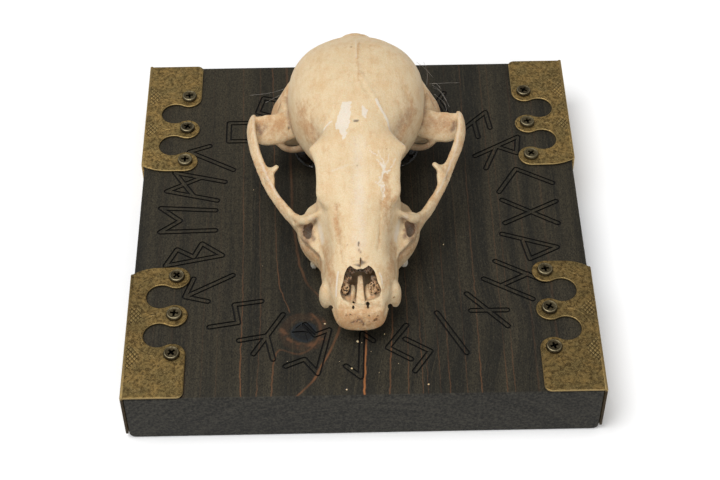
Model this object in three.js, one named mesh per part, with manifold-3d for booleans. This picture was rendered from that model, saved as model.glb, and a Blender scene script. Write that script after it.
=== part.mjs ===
// Wall hanging: a raccoon skull glued to a stained pine board with four brass corner plates.
// Millimetres. The board lies on its back: +Z comes out of its face, +Y points to the edge
// that is uppermost on the wall, and the origin is the middle of the board's back.
import * as THREE from 'three';
import { mergeVertices } from 'three/addons/utils/BufferGeometryUtils.js';
import Module from 'manifold-3d';

// Board
const BOARD_SIDE = 140;
const BOARD_THICKNESS = 19;
const BOARD_EDGE_EASING = 0.6;
const HALF_SIDE = BOARD_SIDE / 2;

// Corner plates: an L of thin brass, the outline measured from the board's corner
const PLATE_THICKNESS = 1.0;
const PLATE_WIDTH = 17.55;
const PLATE_LENGTH = 49.4;
const PLATE_SIDE_LENGTH = 46.7;
const PLATE_CORNER_RADIUS = 2;
const PLATE_SWEEP_START = 8;
const PLATE_SWEEP_BEND = 3;
const LOBE_RADIUS = 4.15;
const LOBE_X = PLATE_WIDTH - LOBE_RADIUS;
const FIRST_LOBE_Y = 15.6;
const LOBE_PITCH = 14.85;
const LOBE_COUNT = 3;
const BAY_X = 9;
const FLANGE_THICKNESS = 0.8;
const FLANGE_DEPTH = 17;
const SEAT_GAP = 0.1;

// Pan-head screws
const SCREW_HEAD_RADIUS = 2.45;
const SCREW_HEAD_HEIGHT = 1.2;
const SCREW_DOME = [[0.8, 0.72]];
const SCREW_SHANK_RADIUS = 1.0;
const SCREW_LENGTH = 12.5;
const SCREW_TIP_LENGTH = 2.5;
const SCREW_SLOT_WIDTH = 0.65;
const SCREW_SLOT_SPAN = 2.7;
const SCREW_SLOT_DEPTH = 0.7;
const SCREW_CLEARANCE = 0.3;
const HOLE_OVERRUN = 1;

// Sawtooth hanger in a recess in the back, near the top edge
const HANGER_Y = 52;
const HANGER_LENGTH = 44;
const HANGER_HEIGHT = 7;
const HANGER_THICKNESS = 0.8;
const HANGER_TOOTH_COUNT = 9;
const HANGER_TOOTH_DEPTH = 1.6;
const HANGER_TOOTH_SPAN = 26;
const HANGER_INSET = 0.3;
const HANGER_LEDGE = 7;
const RECESS_DEPTH = 5;
const RECESS_HEIGHT = 15;
const RECESS_Y = HANGER_Y - 2;
const RECESS_CLEARANCE = 0.5;
const NAIL_RADIUS = 0.7;
const NAIL_HEAD_RADIUS = 1.5;
const NAIL_HEAD_THICKNESS = 0.25;
const NAIL_LENGTH = 9;
const NAIL_TIP_LENGTH = 1;

// Skull: placed by the tip of the snout, at rest on its cheek teeth and ear capsules
const SKULL_X = -0.5;
const SNOUT_Y = -HALF_SIDE + 19.2;
const SOCKET_CLEARANCE = 0.3;

// Glue puddles under the ear capsules
const GLUE_THICKNESS = 0.95;
const GLUE_HALF_WIDTH = 7.5;
const GLUE_HALF_LENGTH = 8.5;
const GLUE_X = 13;
const GLUE_DISTANCE = 80.5;

// Round pieces of bone and round hollows: [x, y, z of the centre, half width, half length,
// half height], on the right side or the midline
const CANINE_SWELLING = [10.2, 10.2, 10.2, 2.2, 3, 5.4];
const EAR_CAPSULE = [12.6, 83, 8.6, 6.2, 8.6, 7.3];
const NECK_KNUCKLE = [7.2, 97.2, 12, 4, 3.8, 4.6];
const NECK_OPENING = [0, 101, 15.2, 6.2, 9, 5.2];

// Straight-sided wedge in front of the slanting rim of the nose opening: [y, z] of its corners
const NOSE_WEDGE = [[-5, 13.4], [2.6, 13.4], [10.6, 25.4], [11.4, 40], [-5, 40]];
const NOSE_WEDGE_WIDTH = 40;

// Facets
const ARC_SEGMENTS = 4;
const TRUNK_SEGMENTS = 16;
const BROW_SEGMENTS = 14;
const FLAT_TRUNK_SEGMENTS = 12;
const BALL_SEGMENTS = 8;
const BALL_RINGS = 6;
const SMALL_SEGMENTS = 8;
const TOOTH_SEGMENTS = 6;
const HOLE_SEGMENTS = 6;
const PUDDLE_SEGMENTS = 12;
const MERGE_DISTANCE = 1e-5;

const AXIS_X = new THREE.Vector3(1, 0, 0);
const AXIS_Y = new THREE.Vector3(0, 1, 0);

const wasm = await Module();
wasm.setup();

// Closed triangle mesh to solid, with coincident corners merged and slivers at poles dropped.
function toSolid(geometry) {
  const bare = geometry.clone();
  bare.deleteAttribute('normal');
  bare.deleteAttribute('uv');
  const merged = mergeVertices(bare, MERGE_DISTANCE);
  const index = merged.index.array;
  const kept = [];
  for (let i = 0; i < index.length; i += 3) {
    const [a, b, c] = [index[i], index[i + 1], index[i + 2]];
    if (a !== b && b !== c && c !== a) kept.push(a, b, c);
  }
  const mesh = new wasm.Mesh({
    numProp: 3,
    vertProperties: new Float32Array(merged.attributes.position.array),
    triVerts: new Uint32Array(kept),
  });
  return new wasm.Manifold(mesh);
}

function toGeometry(solid) {
  const mesh = solid.getMesh();
  const geometry = new THREE.BufferGeometry();
  geometry.setAttribute('position', new THREE.BufferAttribute(mesh.vertProperties, mesh.numProp));
  geometry.setIndex(new THREE.BufferAttribute(mesh.triVerts, 1));
  return geometry;
}

function join(solids) {
  return solids.reduce((whole, next) => whole.add(next));
}

function cut(solid, tools) {
  return tools.reduce((rest, tool) => rest.subtract(tool), solid);
}

function box(width, length, height, x, y, z) {
  return new THREE.BoxGeometry(width, length, height).translate(x, y, z);
}

function rod(radius, bottom, top, segments, x, y) {
  const geometry = new THREE.CylinderGeometry(radius, radius, top - bottom, segments);
  return geometry.rotateX(Math.PI / 2).translate(x, y, (top + bottom) / 2);
}

// Superellipse: plain ellipse at fullness 2, squarer above it.
function squircle(angle, fullness) {
  const bend = (value) => Math.sign(value) * Math.abs(value) ** (2 / fullness);
  return [bend(Math.cos(angle)), bend(Math.sin(angle))];
}

function signedVolume(points, index) {
  let sum = 0;
  for (let i = 0; i < index.length; i += 3) {
    const [a, b, c] = [points[index[i]], points[index[i + 1]], points[index[i + 2]]];
    sum += a.dot(new THREE.Vector3().crossVectors(b, c));
  }
  return sum;
}

// Limb: one organic body through hand-placed stations, with closed ends. Each station is
// [x, y, z, half width, height above the centre, depth below it, fullness, lean in degrees].
// Its sections are square to its own run, or to the direction that is given.
function limb(stations, { around = SMALL_SEGMENTS, across = AXIS_X, direction = null } = {}) {
  const count = stations.length;
  const centres = stations.map(([x, y, z]) => new THREE.Vector3(x, y, z));
  const points = [];
  stations.forEach(([, , , half, above, below, fullness, lean], i) => {
    const before = centres[Math.max(i - 1, 0)];
    const after = centres[Math.min(i + 1, count - 1)];
    const along = direction ?? new THREE.Vector3().subVectors(after, before).normalize();
    const side = across.clone().addScaledVector(along, -across.dot(along)).normalize();
    const up = new THREE.Vector3().crossVectors(side, along);
    if (up.z < -0.1) up.negate();
    side.applyAxisAngle(along, THREE.MathUtils.degToRad(lean));
    up.applyAxisAngle(along, THREE.MathUtils.degToRad(lean));
    for (let k = 0; k < around; k += 1) {
      const [u, v] = squircle((k / around) * 2 * Math.PI, fullness);
      const point = centres[i].clone().addScaledVector(side, u * half);
      points.push(point.addScaledVector(up, v * (v > 0 ? above : below)));
    }
  });
  points.push(centres[0], centres[count - 1]);
  const index = [];
  const first = count * around;
  for (let k = 0; k < around; k += 1) {
    const next = (k + 1) % around;
    index.push(first, next, k);
    index.push(first + 1, (count - 1) * around + k, (count - 1) * around + next);
    for (let i = 0; i < count - 1; i += 1) {
      const [a, b] = [i * around + k, i * around + next];
      index.push(a, b, b + around, a, b + around, a + around);
    }
  }
  if (signedVolume(points, index) < 0) index.reverse();
  const geometry = new THREE.BufferGeometry().setFromPoints(points);
  geometry.setIndex(index);
  return geometry;
}

// Body that runs straight back along the skull, with upright sections: each row is [distance
// from the snout tip, half width, height of the widest line, top, bottom, fullness].
function trunk(rows, around) {
  const stations = rows.map(([y, half, z, top, bottom, fullness]) =>
    [0, y, z, half, top - z, z - bottom, fullness, 0]);
  return limb(stations, { around, direction: AXIS_Y });
}

// The same station on one side of the skull: side is 1 on the right and -1 on the left.
function onSide(stations, side) {
  return stations.map(([x, y, z, half, above, below, fullness, lean]) =>
    [side * x, y, z, half, above, below, fullness, side * lean]);
}

function ball([x, y, z, halfWidth, halfLength, halfHeight], side = 1) {
  const geometry = new THREE.SphereGeometry(1, BALL_SEGMENTS, BALL_RINGS).rotateX(Math.PI / 2);
  return geometry.scale(halfWidth, halfLength, halfHeight).translate(side * x, y, z);
}

// Skull, in its own frame: y counts back from the snout tip, z up from the board's face
function braincase() {
  const rows = [
    [44, 10.8, 26, 38.3, 13, 2.3],
    [51, 11.6, 26, 40.6, 12.5, 2.3],
    [58, 15.6, 24.5, 42, 12, 2.3],
    [65, 19.2, 23.5, 42.6, 11.5, 2.3],
    [73, 21.2, 23.5, 42.6, 11, 2.4],
    [80, 21.8, 23.3, 41.9, 10.5, 2.4],
    [87, 20.7, 23, 40.2, 10, 2.4],
    [93, 17.8, 22.5, 37.4, 9.5, 2.4],
    [97.4, 12.6, 21.5, 34.6, 10, 2.3],
    [99.3, 6, 20.5, 31, 13, 2.1],
  ];
  return trunk(rows, TRUNK_SEGMENTS);
}

function snout() {
  const rows = [
    [0, 4.6, 8.6, 11, 6.6, 2.4],
    [1.2, 6.8, 8.6, 13.6, 5.6, 2.5],
    [4, 8.0, 9, 18.4, 5.1, 2.5],
    [8, 9.2, 10.4, 23.6, 5.1, 2.3],
    [12, 10.9, 11.4, 26.6, 5.4, 2.1],
    [17, 11.0, 12.4, 28.8, 6, 2.1],
    [23, 11.7, 13, 31.4, 6.4, 2.1],
    [29, 12.9, 15, 33.6, 7, 2.2],
    [34, 13.2, 18, 35.6, 8, 2.3],
    [40, 12.0, 23, 37.4, 11, 2.4],
    [46, 11.0, 26, 39.2, 13, 2.3],
    [54, 10.4, 26, 40, 14, 2.3],
  ];
  return trunk(rows, TRUNK_SEGMENTS);
}

function palate() {
  const rows = [
    [5.5, 8.0, 7, 9, 5.2, 3],
    [9.5, 10.8, 7.5, 11, 5, 3],
    [14, 10.9, 7.5, 11, 4.9, 3],
    [20, 11.1, 7.5, 12, 4.7, 3],
    [26, 13.3, 7.8, 13, 4.5, 3],
    [31, 16.4, 8, 14, 4.4, 3],
    [36, 18.4, 8.4, 14, 4.4, 3],
    [41.5, 18.4, 8.6, 14, 4.5, 3],
    [46.5, 15.8, 9, 14, 5.1, 3],
    [50, 12.0, 9.6, 14.5, 6.4, 2.8],
    [55, 8.6, 10, 15, 7.6, 2.6],
    [67, 7.6, 11, 16, 8.6, 2.6],
    [80, 8.4, 11, 16, 8.8, 2.6],
    [96, 8, 12, 16, 9.6, 2.4],
  ];
  return trunk(rows, FLAT_TRUNK_SEGMENTS);
}

// Roof of the brow between the eye sockets, drawn out behind them into two points.
function brow() {
  const rows = [
    [26, 7.0, 27.4, 30.2, 24, 2.2],
    [31, 12.2, 30.4, 34.4, 26, 2.2],
    [36, 12.5, 32.8, 36.5, 28, 2.2],
    [41, 12.8, 34, 37.9, 30, 2.2],
    [44.6, 13.8, 34.2, 39, 31.6, 2.0],
    [46.8, 14.8, 34.2, 39.7, 32.2, 1.9],
    [48.6, 13.0, 34.4, 40.1, 31.6, 2.0],
    [53, 11.0, 32.5, 40.6, 28, 2.2],
  ];
  return trunk(rows, BROW_SEGMENTS);
}

function cheekArch(side) {
  const stations = [
    [14.6, 34.6, 12.2, 3.4, 4.4, 5.2, 2.3, 0],
    [18.7, 37.0, 14.2, 2.4, 4.0, 4.6, 2.3, -4],
    [21.7, 40.0, 15.6, 2.0, 3.4, 3.6, 2.3, -10],
    [25.2, 44.8, 17.0, 1.9, 3.1, 3.3, 2.3, -14],
    [28.2, 50.0, 18.4, 1.7, 3.2, 3.2, 2.3, -14],
    [30.9, 56.5, 20.0, 1.5, 2.9, 3.0, 2.3, -14],
    [32.6, 64.5, 20.8, 1.4, 2.7, 2.9, 2.3, -12],
    [32.9, 71.0, 20.4, 1.4, 2.7, 3.0, 2.3, -8],
    [32.0, 75.6, 19.6, 1.2, 2.4, 3.0, 2.3, 0],
  ];
  return limb(onSide(stations, side));
}

function cheekSpur(side) {
  const stations = [
    [29.4, 51.8, 18.6, 1.5, 4.6, 4.2, 2, 0],
    [27.4, 52.0, 21.4, 1.2, 3.0, 2.6, 2, 0],
    [24.2, 53.0, 23.8, 0.7, 1.0, 1.0, 2, 0],
  ];
  return limb(onSide(stations, side));
}

// Sloping shelf from the braincase out to the back of the cheek arch, over the jaw joint.
function jawShelf(side) {
  const stations = [
    [14.0, 76.0, 18.0, 5.4, 2.4, 2.6, 2.3, 38],
    [20.0, 74.4, 18.4, 4.9, 1.8, 2.0, 2.3, 40],
    [25.0, 72.4, 18.4, 4.5, 1.5, 1.6, 2.3, 42],
    [29.5, 71.8, 18.8, 4.4, 1.3, 1.5, 2.3, 44],
    [32.6, 72.6, 19.4, 3.2, 1.0, 1.2, 2.3, 50],
  ];
  return limb(onSide(stations, side), { across: AXIS_Y });
}

function jawStop(side) {
  const stations = [
    [12.0, 77.4, 10.4, 2.0, 4.0, 2.2, 2, 0],
    [20.5, 76.4, 9.6, 1.7, 5.0, 2.8, 2, 0],
    [26.8, 75.2, 11.6, 1.3, 4.6, 1.6, 2, 0],
  ];
  return limb(onSide(stations, side), { across: AXIS_Y });
}

function napeCrest(side) {
  const stations = [
    [-1.2, 98.4, 32.2, 2.2, 1.2, 4, 2, 0],
    [7.5, 96.8, 31.0, 2.0, 1.2, 4, 2, 0],
    [14.5, 93.2, 26.8, 2.0, 1.4, 4, 2, 0],
    [20.2, 88.6, 21.4, 2.4, 1.6, 4, 2, 0],
    [24.6, 84.8, 15.6, 3.0, 1.8, 4, 2, 0],
  ];
  return limb(onSide(stations, side), { across: AXIS_Y });
}

function mastoid(side) {
  const stations = [
    [20.5, 83.0, 18.5, 4.0, 6.5, 6.5, 2.2, 0],
    [24.2, 83.0, 14.0, 3.2, 5.4, 5.4, 2.2, 0],
    [25.2, 83.2, 8.5, 2.4, 3.4, 3.4, 2, 0],
    [24.4, 83.4, 4.2, 1.2, 1.6, 1.6, 2, 0],
  ];
  return limb(onSide(stations, side));
}

function earTube(side) {
  const stations = [
    [15.0, 81.0, 9.8, 3.4, 3.2, 3.2, 2, 0],
    [20.0, 79.2, 10.6, 2.8, 2.6, 2.6, 2, 0],
    [24.8, 78.2, 11.2, 2.6, 2.4, 2.4, 2, 0],
  ];
  return limb(onSide(stations, side), { across: AXIS_Y });
}

function neckSpur(side) {
  const stations = [
    [16.5, 90.6, 14.0, 3.0, 3.0, 3.0, 2, 0],
    [17.2, 91.2, 8.0, 2.0, 1.8, 1.8, 2, 0],
    [17.4, 91.2, 3.2, 1.0, 0.9, 0.9, 2, 0],
  ];
  return limb(onSide(stations, side));
}

function throatWing(side) {
  const stations = [
    [6.6, 52, 10.2, 1.0, 2.5, 3.4, 2.3, 0],
    [6.2, 60, 9.6, 0.9, 2.5, 3.8, 2.3, 0],
    [6.0, 67, 8.6, 0.8, 2.5, 3.6, 2.3, 0],
    [6.2, 72, 5.8, 0.6, 0.8, 0.8, 2, 0],
  ];
  return limb(onSide(stations, side));
}

function nasalCavity() {
  const rows = [
    [-3, 5.6, 15, 30, 12.4, 2.2],
    [3, 5.6, 15.4, 30, 11.4, 2.2],
    [6, 5.8, 16, 25, 9.8, 2.2],
    [11, 5.6, 17, 24.6, 9.6, 2.2],
    [17, 5.2, 18, 25.6, 10, 2.2],
    [24, 4.4, 19, 26, 12, 2.2],
  ];
  return trunk(rows, FLAT_TRUNK_SEGMENTS);
}

// Wedge that takes the snout's front off along the slanting rim of the nose opening.
function noseBevel() {
  const outline = new THREE.Shape(NOSE_WEDGE.map(([y, z]) => new THREE.Vector2(y, z)));
  const geometry = new THREE.ExtrudeGeometry(outline, { depth: NOSE_WEDGE_WIDTH, bevelEnabled: false });
  return geometry.rotateY(Math.PI / 2).rotateX(Math.PI / 2).translate(-NOSE_WEDGE_WIDTH / 2, 0, 0);
}

// Cheek teeth of one side, front to back: name, distance, x, half width, half length, lowest z
const CHEEK_TEETH = [
  ['premolar_1', 15.6, 9.2, 0.9, 1.1, 2.4],
  ['premolar_2', 19.8, 9.6, 1.2, 2.0, 1.6],
  ['premolar_3', 24.9, 10.4, 1.5, 2.3, 0.9],
  ['premolar_4', 31.7, 12.0, 3.2, 3.3, 0.1],
  ['molar_1', 39.2, 14.4, 3.7, 3.6, 0.1],
  ['molar_2', 45.4, 12.9, 2.7, 2.1, 0.7],
];
const GUM_HEIGHT = 4.6;
const ROOT_TOP = 8.2;
const ROOT_SHARE = 0.62;

function toothStations([, distance, x, half, length, low], side) {
  const row = (z, share) => [side * x, distance, z, half * share, length * share, length * share, 2.6, 0];
  return [
    row(low, 0.6),
    row(low + 0.5, 0.86),
    row((low + GUM_HEIGHT) / 2 + 0.3, 0.98),
    row(GUM_HEIGHT - 0.5, ROOT_SHARE),
    row(ROOT_TOP, ROOT_SHARE * 0.8),
  ];
}

function socket([, distance, x, half, length], side) {
  const row = (z, share) => {
    const along = length * share + SOCKET_CLEARANCE;
    return [side * x, distance, z, half * share + SOCKET_CLEARANCE, along, along, 2.6, 0];
  };
  const stations = [row(GUM_HEIGHT - 2, ROOT_SHARE), row(ROOT_TOP + SOCKET_CLEARANCE, ROOT_SHARE * 0.8)];
  return limb(stations, { around: TOOTH_SEGMENTS });
}

function canineSocket(side) {
  const stations = [
    [9.3, 9.0, 3.6, 1.7, 2.2, 2.2, 2, 0],
    [9.9, 10.6, 11.5, 1.0, 1.3, 1.3, 2, 0],
  ];
  return limb(onSide(stations, side));
}

function skullSolid() {
  const bodies = [braincase(), snout(), palate(), brow()];
  const hollows = [nasalCavity(), noseBevel(), ball(NECK_OPENING)];
  for (const side of [-1, 1]) {
    bodies.push(cheekArch(side), cheekSpur(side), jawShelf(side), jawStop(side));
    bodies.push(napeCrest(side), mastoid(side), earTube(side), neckSpur(side), throatWing(side));
    bodies.push(ball(CANINE_SWELLING, side), ball(EAR_CAPSULE, side), ball(NECK_KNUCKLE, side));
    hollows.push(canineSocket(side));
    CHEEK_TEETH.forEach((tooth) => hollows.push(socket(tooth, side)));
  }
  return cut(join(bodies.map(toSolid)), hollows.map(toSolid));
}

// Outline of a corner plate seen from above, from the board's corner at the origin: screw lobes
// and round bays follow each other as circles that touch, so the edge is one smooth wave.
function plateOutline() {
  const outline = new THREE.Shape();
  const lobe = (i) => new THREE.Vector2(LOBE_X, FIRST_LOBE_Y + i * LOBE_PITCH);
  const edge = -FLANGE_THICKNESS;
  outline.moveTo(edge, 0);
  outline.lineTo(PLATE_WIDTH - PLATE_CORNER_RADIUS, 0);
  outline.quadraticCurveTo(PLATE_WIDTH, 0, PLATE_WIDTH, PLATE_CORNER_RADIUS);
  let start = 0;
  for (let i = 0; i < LOBE_COUNT - 1; i += 1) {
    const bay = new THREE.Vector2(BAY_X, (lobe(i).y + lobe(i + 1).y) / 2);
    const down = new THREE.Vector2().subVectors(lobe(i), bay);
    const bayRadius = down.length() - LOBE_RADIUS;
    outline.absarc(lobe(i).x, lobe(i).y, LOBE_RADIUS, start, down.angle() - Math.PI, false);
    outline.absarc(bay.x, bay.y, bayRadius, down.angle(), -down.angle(), true);
    start = Math.PI - down.angle();
  }
  outline.absarc(LOBE_X, lobe(LOBE_COUNT - 1).y, LOBE_RADIUS, start, Math.PI / 2, false);
  outline.lineTo(PLATE_SWEEP_START, PLATE_LENGTH);
  outline.quadraticCurveTo(PLATE_SWEEP_BEND, PLATE_LENGTH, edge, PLATE_SIDE_LENGTH);
  return outline.getPoints(ARC_SEGMENTS);
}

const CORNERS = [
  ['bottom_left', -1, -1],
  ['bottom_right', 1, -1],
  ['top_left', -1, 1],
  ['top_right', 1, 1],
];

// Places on the board's face of the three screws of one corner.
function screwPlaces(sx, sy) {
  const lobes = Array.from({ length: LOBE_COUNT }, (item, i) => FIRST_LOBE_Y + i * LOBE_PITCH);
  return lobes.map((y) => [sx * (HALF_SIDE - LOBE_X), sy * (HALF_SIDE - y)]);
}

function cornerPlateSolid(sx, sy) {
  const points = plateOutline().map(({ x, y }) =>
    new THREE.Vector2(sx * (HALF_SIDE + SEAT_GAP - x), sy * (HALF_SIDE - y)));
  const sheet = new THREE.ExtrudeGeometry(new THREE.Shape(points), {
    depth: PLATE_THICKNESS,
    bevelEnabled: false,
  });
  sheet.translate(0, 0, BOARD_THICKNESS + SEAT_GAP);
  const flangeTop = BOARD_THICKNESS + SEAT_GAP + PLATE_THICKNESS;
  const flangeBottom = BOARD_THICKNESS - FLANGE_DEPTH;
  const flange = box(
    FLANGE_THICKNESS, PLATE_SIDE_LENGTH, flangeTop - flangeBottom,
    sx * (HALF_SIDE + SEAT_GAP + FLANGE_THICKNESS / 2),
    sy * (HALF_SIDE - PLATE_SIDE_LENGTH / 2),
    (flangeTop + flangeBottom) / 2,
  );
  const [holeBottom, holeTop] = [BOARD_THICKNESS - HOLE_OVERRUN, flangeTop + HOLE_OVERRUN];
  const holes = screwPlaces(sx, sy).map(([x, y]) => toSolid(
    rod(SCREW_SHANK_RADIUS + SCREW_CLEARANCE, holeBottom, holeTop, SMALL_SEGMENTS, x, y)));
  return cut(join([toSolid(sheet), toSolid(flange)]), holes);
}

// Screw standing on z = 0, with its head above and its shank below.
function screwSolid() {
  const profile = [
    [0, SCREW_HEAD_HEIGHT],
    ...SCREW_DOME.map(([across, up]) => [SCREW_HEAD_RADIUS * across, SCREW_HEAD_HEIGHT * up]),
    [SCREW_HEAD_RADIUS, 0],
    [SCREW_SHANK_RADIUS, 0],
    [SCREW_SHANK_RADIUS, SCREW_TIP_LENGTH - SCREW_LENGTH],
    [0, -SCREW_LENGTH],
  ].map(([radius, height]) => new THREE.Vector2(radius, height));
  const turned = new THREE.LatheGeometry(profile.reverse(), SMALL_SEGMENTS).rotateX(Math.PI / 2);
  const slotHeight = SCREW_SLOT_DEPTH + HOLE_OVERRUN;
  const middle = SCREW_HEAD_HEIGHT - SCREW_SLOT_DEPTH + slotHeight / 2;
  const slots = [
    box(SCREW_SLOT_SPAN, SCREW_SLOT_WIDTH, slotHeight, 0, 0, middle),
    box(SCREW_SLOT_WIDTH, SCREW_SLOT_SPAN, slotHeight, 0, 0, middle),
  ];
  return cut(toSolid(turned), [join(slots.map(toSolid))]);
}

function nailPlaces() {
  const x = (HANGER_LENGTH - HANGER_LEDGE) / 2;
  return [[-x, HANGER_Y], [x, HANGER_Y]];
}

function hangerSolid() {
  const outline = new THREE.Shape();
  const [half, rise] = [HANGER_LENGTH / 2, HANGER_HEIGHT / 2];
  outline.moveTo(half, rise);
  outline.lineTo(-half, rise);
  outline.lineTo(-half, -rise);
  const pitch = HANGER_TOOTH_SPAN / HANGER_TOOTH_COUNT;
  for (let i = 0; i < HANGER_TOOTH_COUNT; i += 1) {
    const x = -HANGER_TOOTH_SPAN / 2 + i * pitch;
    outline.lineTo(x, -rise);
    outline.lineTo(x + pitch / 2, -rise + HANGER_TOOTH_DEPTH);
  }
  outline.lineTo(HANGER_TOOTH_SPAN / 2, -rise);
  outline.lineTo(half, -rise);
  const strip = new THREE.ExtrudeGeometry(outline, { depth: HANGER_THICKNESS, bevelEnabled: false });
  strip.translate(0, HANGER_Y, HANGER_INSET);
  const holeTop = HANGER_INSET + HANGER_THICKNESS + HOLE_OVERRUN;
  const holes = nailPlaces().map(([x, y]) => toSolid(
    rod(NAIL_RADIUS + SCREW_CLEARANCE, -HOLE_OVERRUN, holeTop, SMALL_SEGMENTS, x, y)));
  return cut(toSolid(strip), holes);
}

// Nail with its head at the back of the board, driven towards the face.
function nailGeometry() {
  const profile = [
    [0, NAIL_LENGTH],
    [NAIL_RADIUS, NAIL_LENGTH - NAIL_TIP_LENGTH],
    [NAIL_RADIUS, NAIL_HEAD_THICKNESS],
    [NAIL_HEAD_RADIUS, NAIL_HEAD_THICKNESS],
    [NAIL_HEAD_RADIUS, 0],
    [0, 0],
  ].map(([radius, height]) => new THREE.Vector2(radius, height));
  return new THREE.LatheGeometry(profile.reverse(), SMALL_SEGMENTS).rotateX(Math.PI / 2);
}

function boardSolid() {
  const eased = BOARD_SIDE - 2 * BOARD_EDGE_EASING;
  const outline = new THREE.Shape();
  outline.moveTo(-eased / 2, -eased / 2);
  outline.lineTo(eased / 2, -eased / 2);
  outline.lineTo(eased / 2, eased / 2);
  outline.lineTo(-eased / 2, eased / 2);
  const slab = new THREE.ExtrudeGeometry(outline, {
    depth: BOARD_THICKNESS - 2 * BOARD_EDGE_EASING,
    bevelSize: BOARD_EDGE_EASING,
    bevelThickness: BOARD_EDGE_EASING,
    bevelSegments: 1,
  });
  slab.translate(0, 0, BOARD_EDGE_EASING);
  const tools = [];
  for (const [, sx, sy] of CORNERS) {
    for (const [x, y] of screwPlaces(sx, sy)) {
      const bottom = BOARD_THICKNESS - SCREW_LENGTH - SCREW_CLEARANCE;
      const top = BOARD_THICKNESS + HOLE_OVERRUN;
      tools.push(rod(SCREW_SHANK_RADIUS + SCREW_CLEARANCE, bottom, top, HOLE_SEGMENTS, x, y));
    }
  }
  const seatDepth = HANGER_INSET + HANGER_THICKNESS + SEAT_GAP;
  const seatLength = HANGER_LENGTH + 2 * RECESS_CLEARANCE;
  const deepLength = HANGER_LENGTH - 2 * HANGER_LEDGE;
  tools.push(box(seatLength, RECESS_HEIGHT, 2 * seatDepth, 0, RECESS_Y, 0));
  tools.push(box(deepLength, RECESS_HEIGHT, 2 * RECESS_DEPTH, 0, RECESS_Y, 0));
  for (const [x, y] of nailPlaces()) {
    const top = NAIL_LENGTH + SCREW_CLEARANCE;
    tools.push(rod(NAIL_RADIUS + SCREW_CLEARANCE, -HOLE_OVERRUN, top, HOLE_SEGMENTS, x, y));
  }
  return cut(toSolid(slab), tools.map(toSolid));
}

// A puddle with a feathered edge, flat on the board.
function gluePuddle(side) {
  const row = (z, share) => [
    side * GLUE_X, GLUE_DISTANCE, z,
    GLUE_HALF_WIDTH * share, GLUE_HALF_LENGTH * share, GLUE_HALF_LENGTH * share, 2, 0,
  ];
  const stations = [row(SEAT_GAP, 1), row(GLUE_THICKNESS * 0.5, 0.97), row(GLUE_THICKNESS, 0.86)];
  return limb(stations, { around: PUDDLE_SEGMENTS });
}

const FINISHES = {
  wood: { color: 0x2e2822, roughness: 0.6, metalness: 0 },
  brass: { color: 0x8a7640, roughness: 0.42, metalness: 1 },
  screw_metal: { color: 0x6d6558, roughness: 0.4, metalness: 1 },
  bone: { color: 0xdcc39a, roughness: 0.62, metalness: 0 },
  enamel: { color: 0xf1ecdf, roughness: 0.25, metalness: 0 },
  glue: { color: 0xd8d4c8, roughness: 0.12, metalness: 0 },
  steel: { color: 0x9c9a94, roughness: 0.4, metalness: 1 },
};

function named(name, geometry, finish) {
  const mesh = new THREE.Mesh(geometry, new THREE.MeshStandardMaterial(FINISHES[finish]));
  mesh.name = name;
  return mesh;
}

function cornerHardware() {
  const group = new THREE.Group();
  const screw = toGeometry(screwSolid());
  for (const [corner, sx, sy] of CORNERS) {
    group.add(named(`corner_plate_${corner}`, toGeometry(cornerPlateSolid(sx, sy)), 'brass'));
    screwPlaces(sx, sy).forEach(([x, y], i) => {
      const mesh = named(`plate_screw_${corner}_${i + 1}`, screw, 'screw_metal');
      mesh.position.set(x, y, BOARD_THICKNESS + PLATE_THICKNESS + 2 * SEAT_GAP);
      group.add(mesh);
    });
  }
  return group;
}

function hangerHardware() {
  const group = new THREE.Group();
  group.add(named('hanger', toGeometry(hangerSolid()), 'steel'));
  nailPlaces().forEach(([x, y], i) => {
    const mesh = named(`hanger_nail_${i + 1}`, nailGeometry(), 'steel');
    mesh.position.set(x, y, 0);
    group.add(mesh);
  });
  return group;
}

function skullGroup() {
  const group = new THREE.Group();
  group.position.set(SKULL_X, SNOUT_Y, BOARD_THICKNESS);
  group.add(named('skull', toGeometry(skullSolid()), 'bone'));
  for (const [word, side] of [['left', -1], ['right', 1]]) {
    for (const tooth of CHEEK_TEETH) {
      const crown = limb(toothStations(tooth, side), { around: TOOTH_SEGMENTS });
      group.add(named(`tooth_${word}_${tooth[0]}`, crown, 'enamel'));
    }
    group.add(named(`glue_${word}`, gluePuddle(side), 'glue'));
  }
  return group;
}

const wallHanging = new THREE.Group();
wallHanging.add(named('board', toGeometry(boardSolid()), 'wood'));
wallHanging.add(cornerHardware(), hangerHardware(), skullGroup());

export default wallHanging;
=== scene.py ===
"""Looks of a wall hanging: a raccoon skull on a stained pine board with brass corner plates.

The model classes work in millimetres. The skull has a frame of its own, counted from the
tip of the snout: x to the right, y back along the skull and z up from the board's face.
Every mesh is brought to metres and to the shared frame when its piece is made.
"""

import functools
import logging
import math
import random
from dataclasses import dataclass
from enum import Enum
from typing import Callable, Iterable, Sequence

import bmesh
import bpy
import numpy as np
from mathutils import Matrix, Vector, noise
from mathutils.kdtree import KDTree


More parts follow.
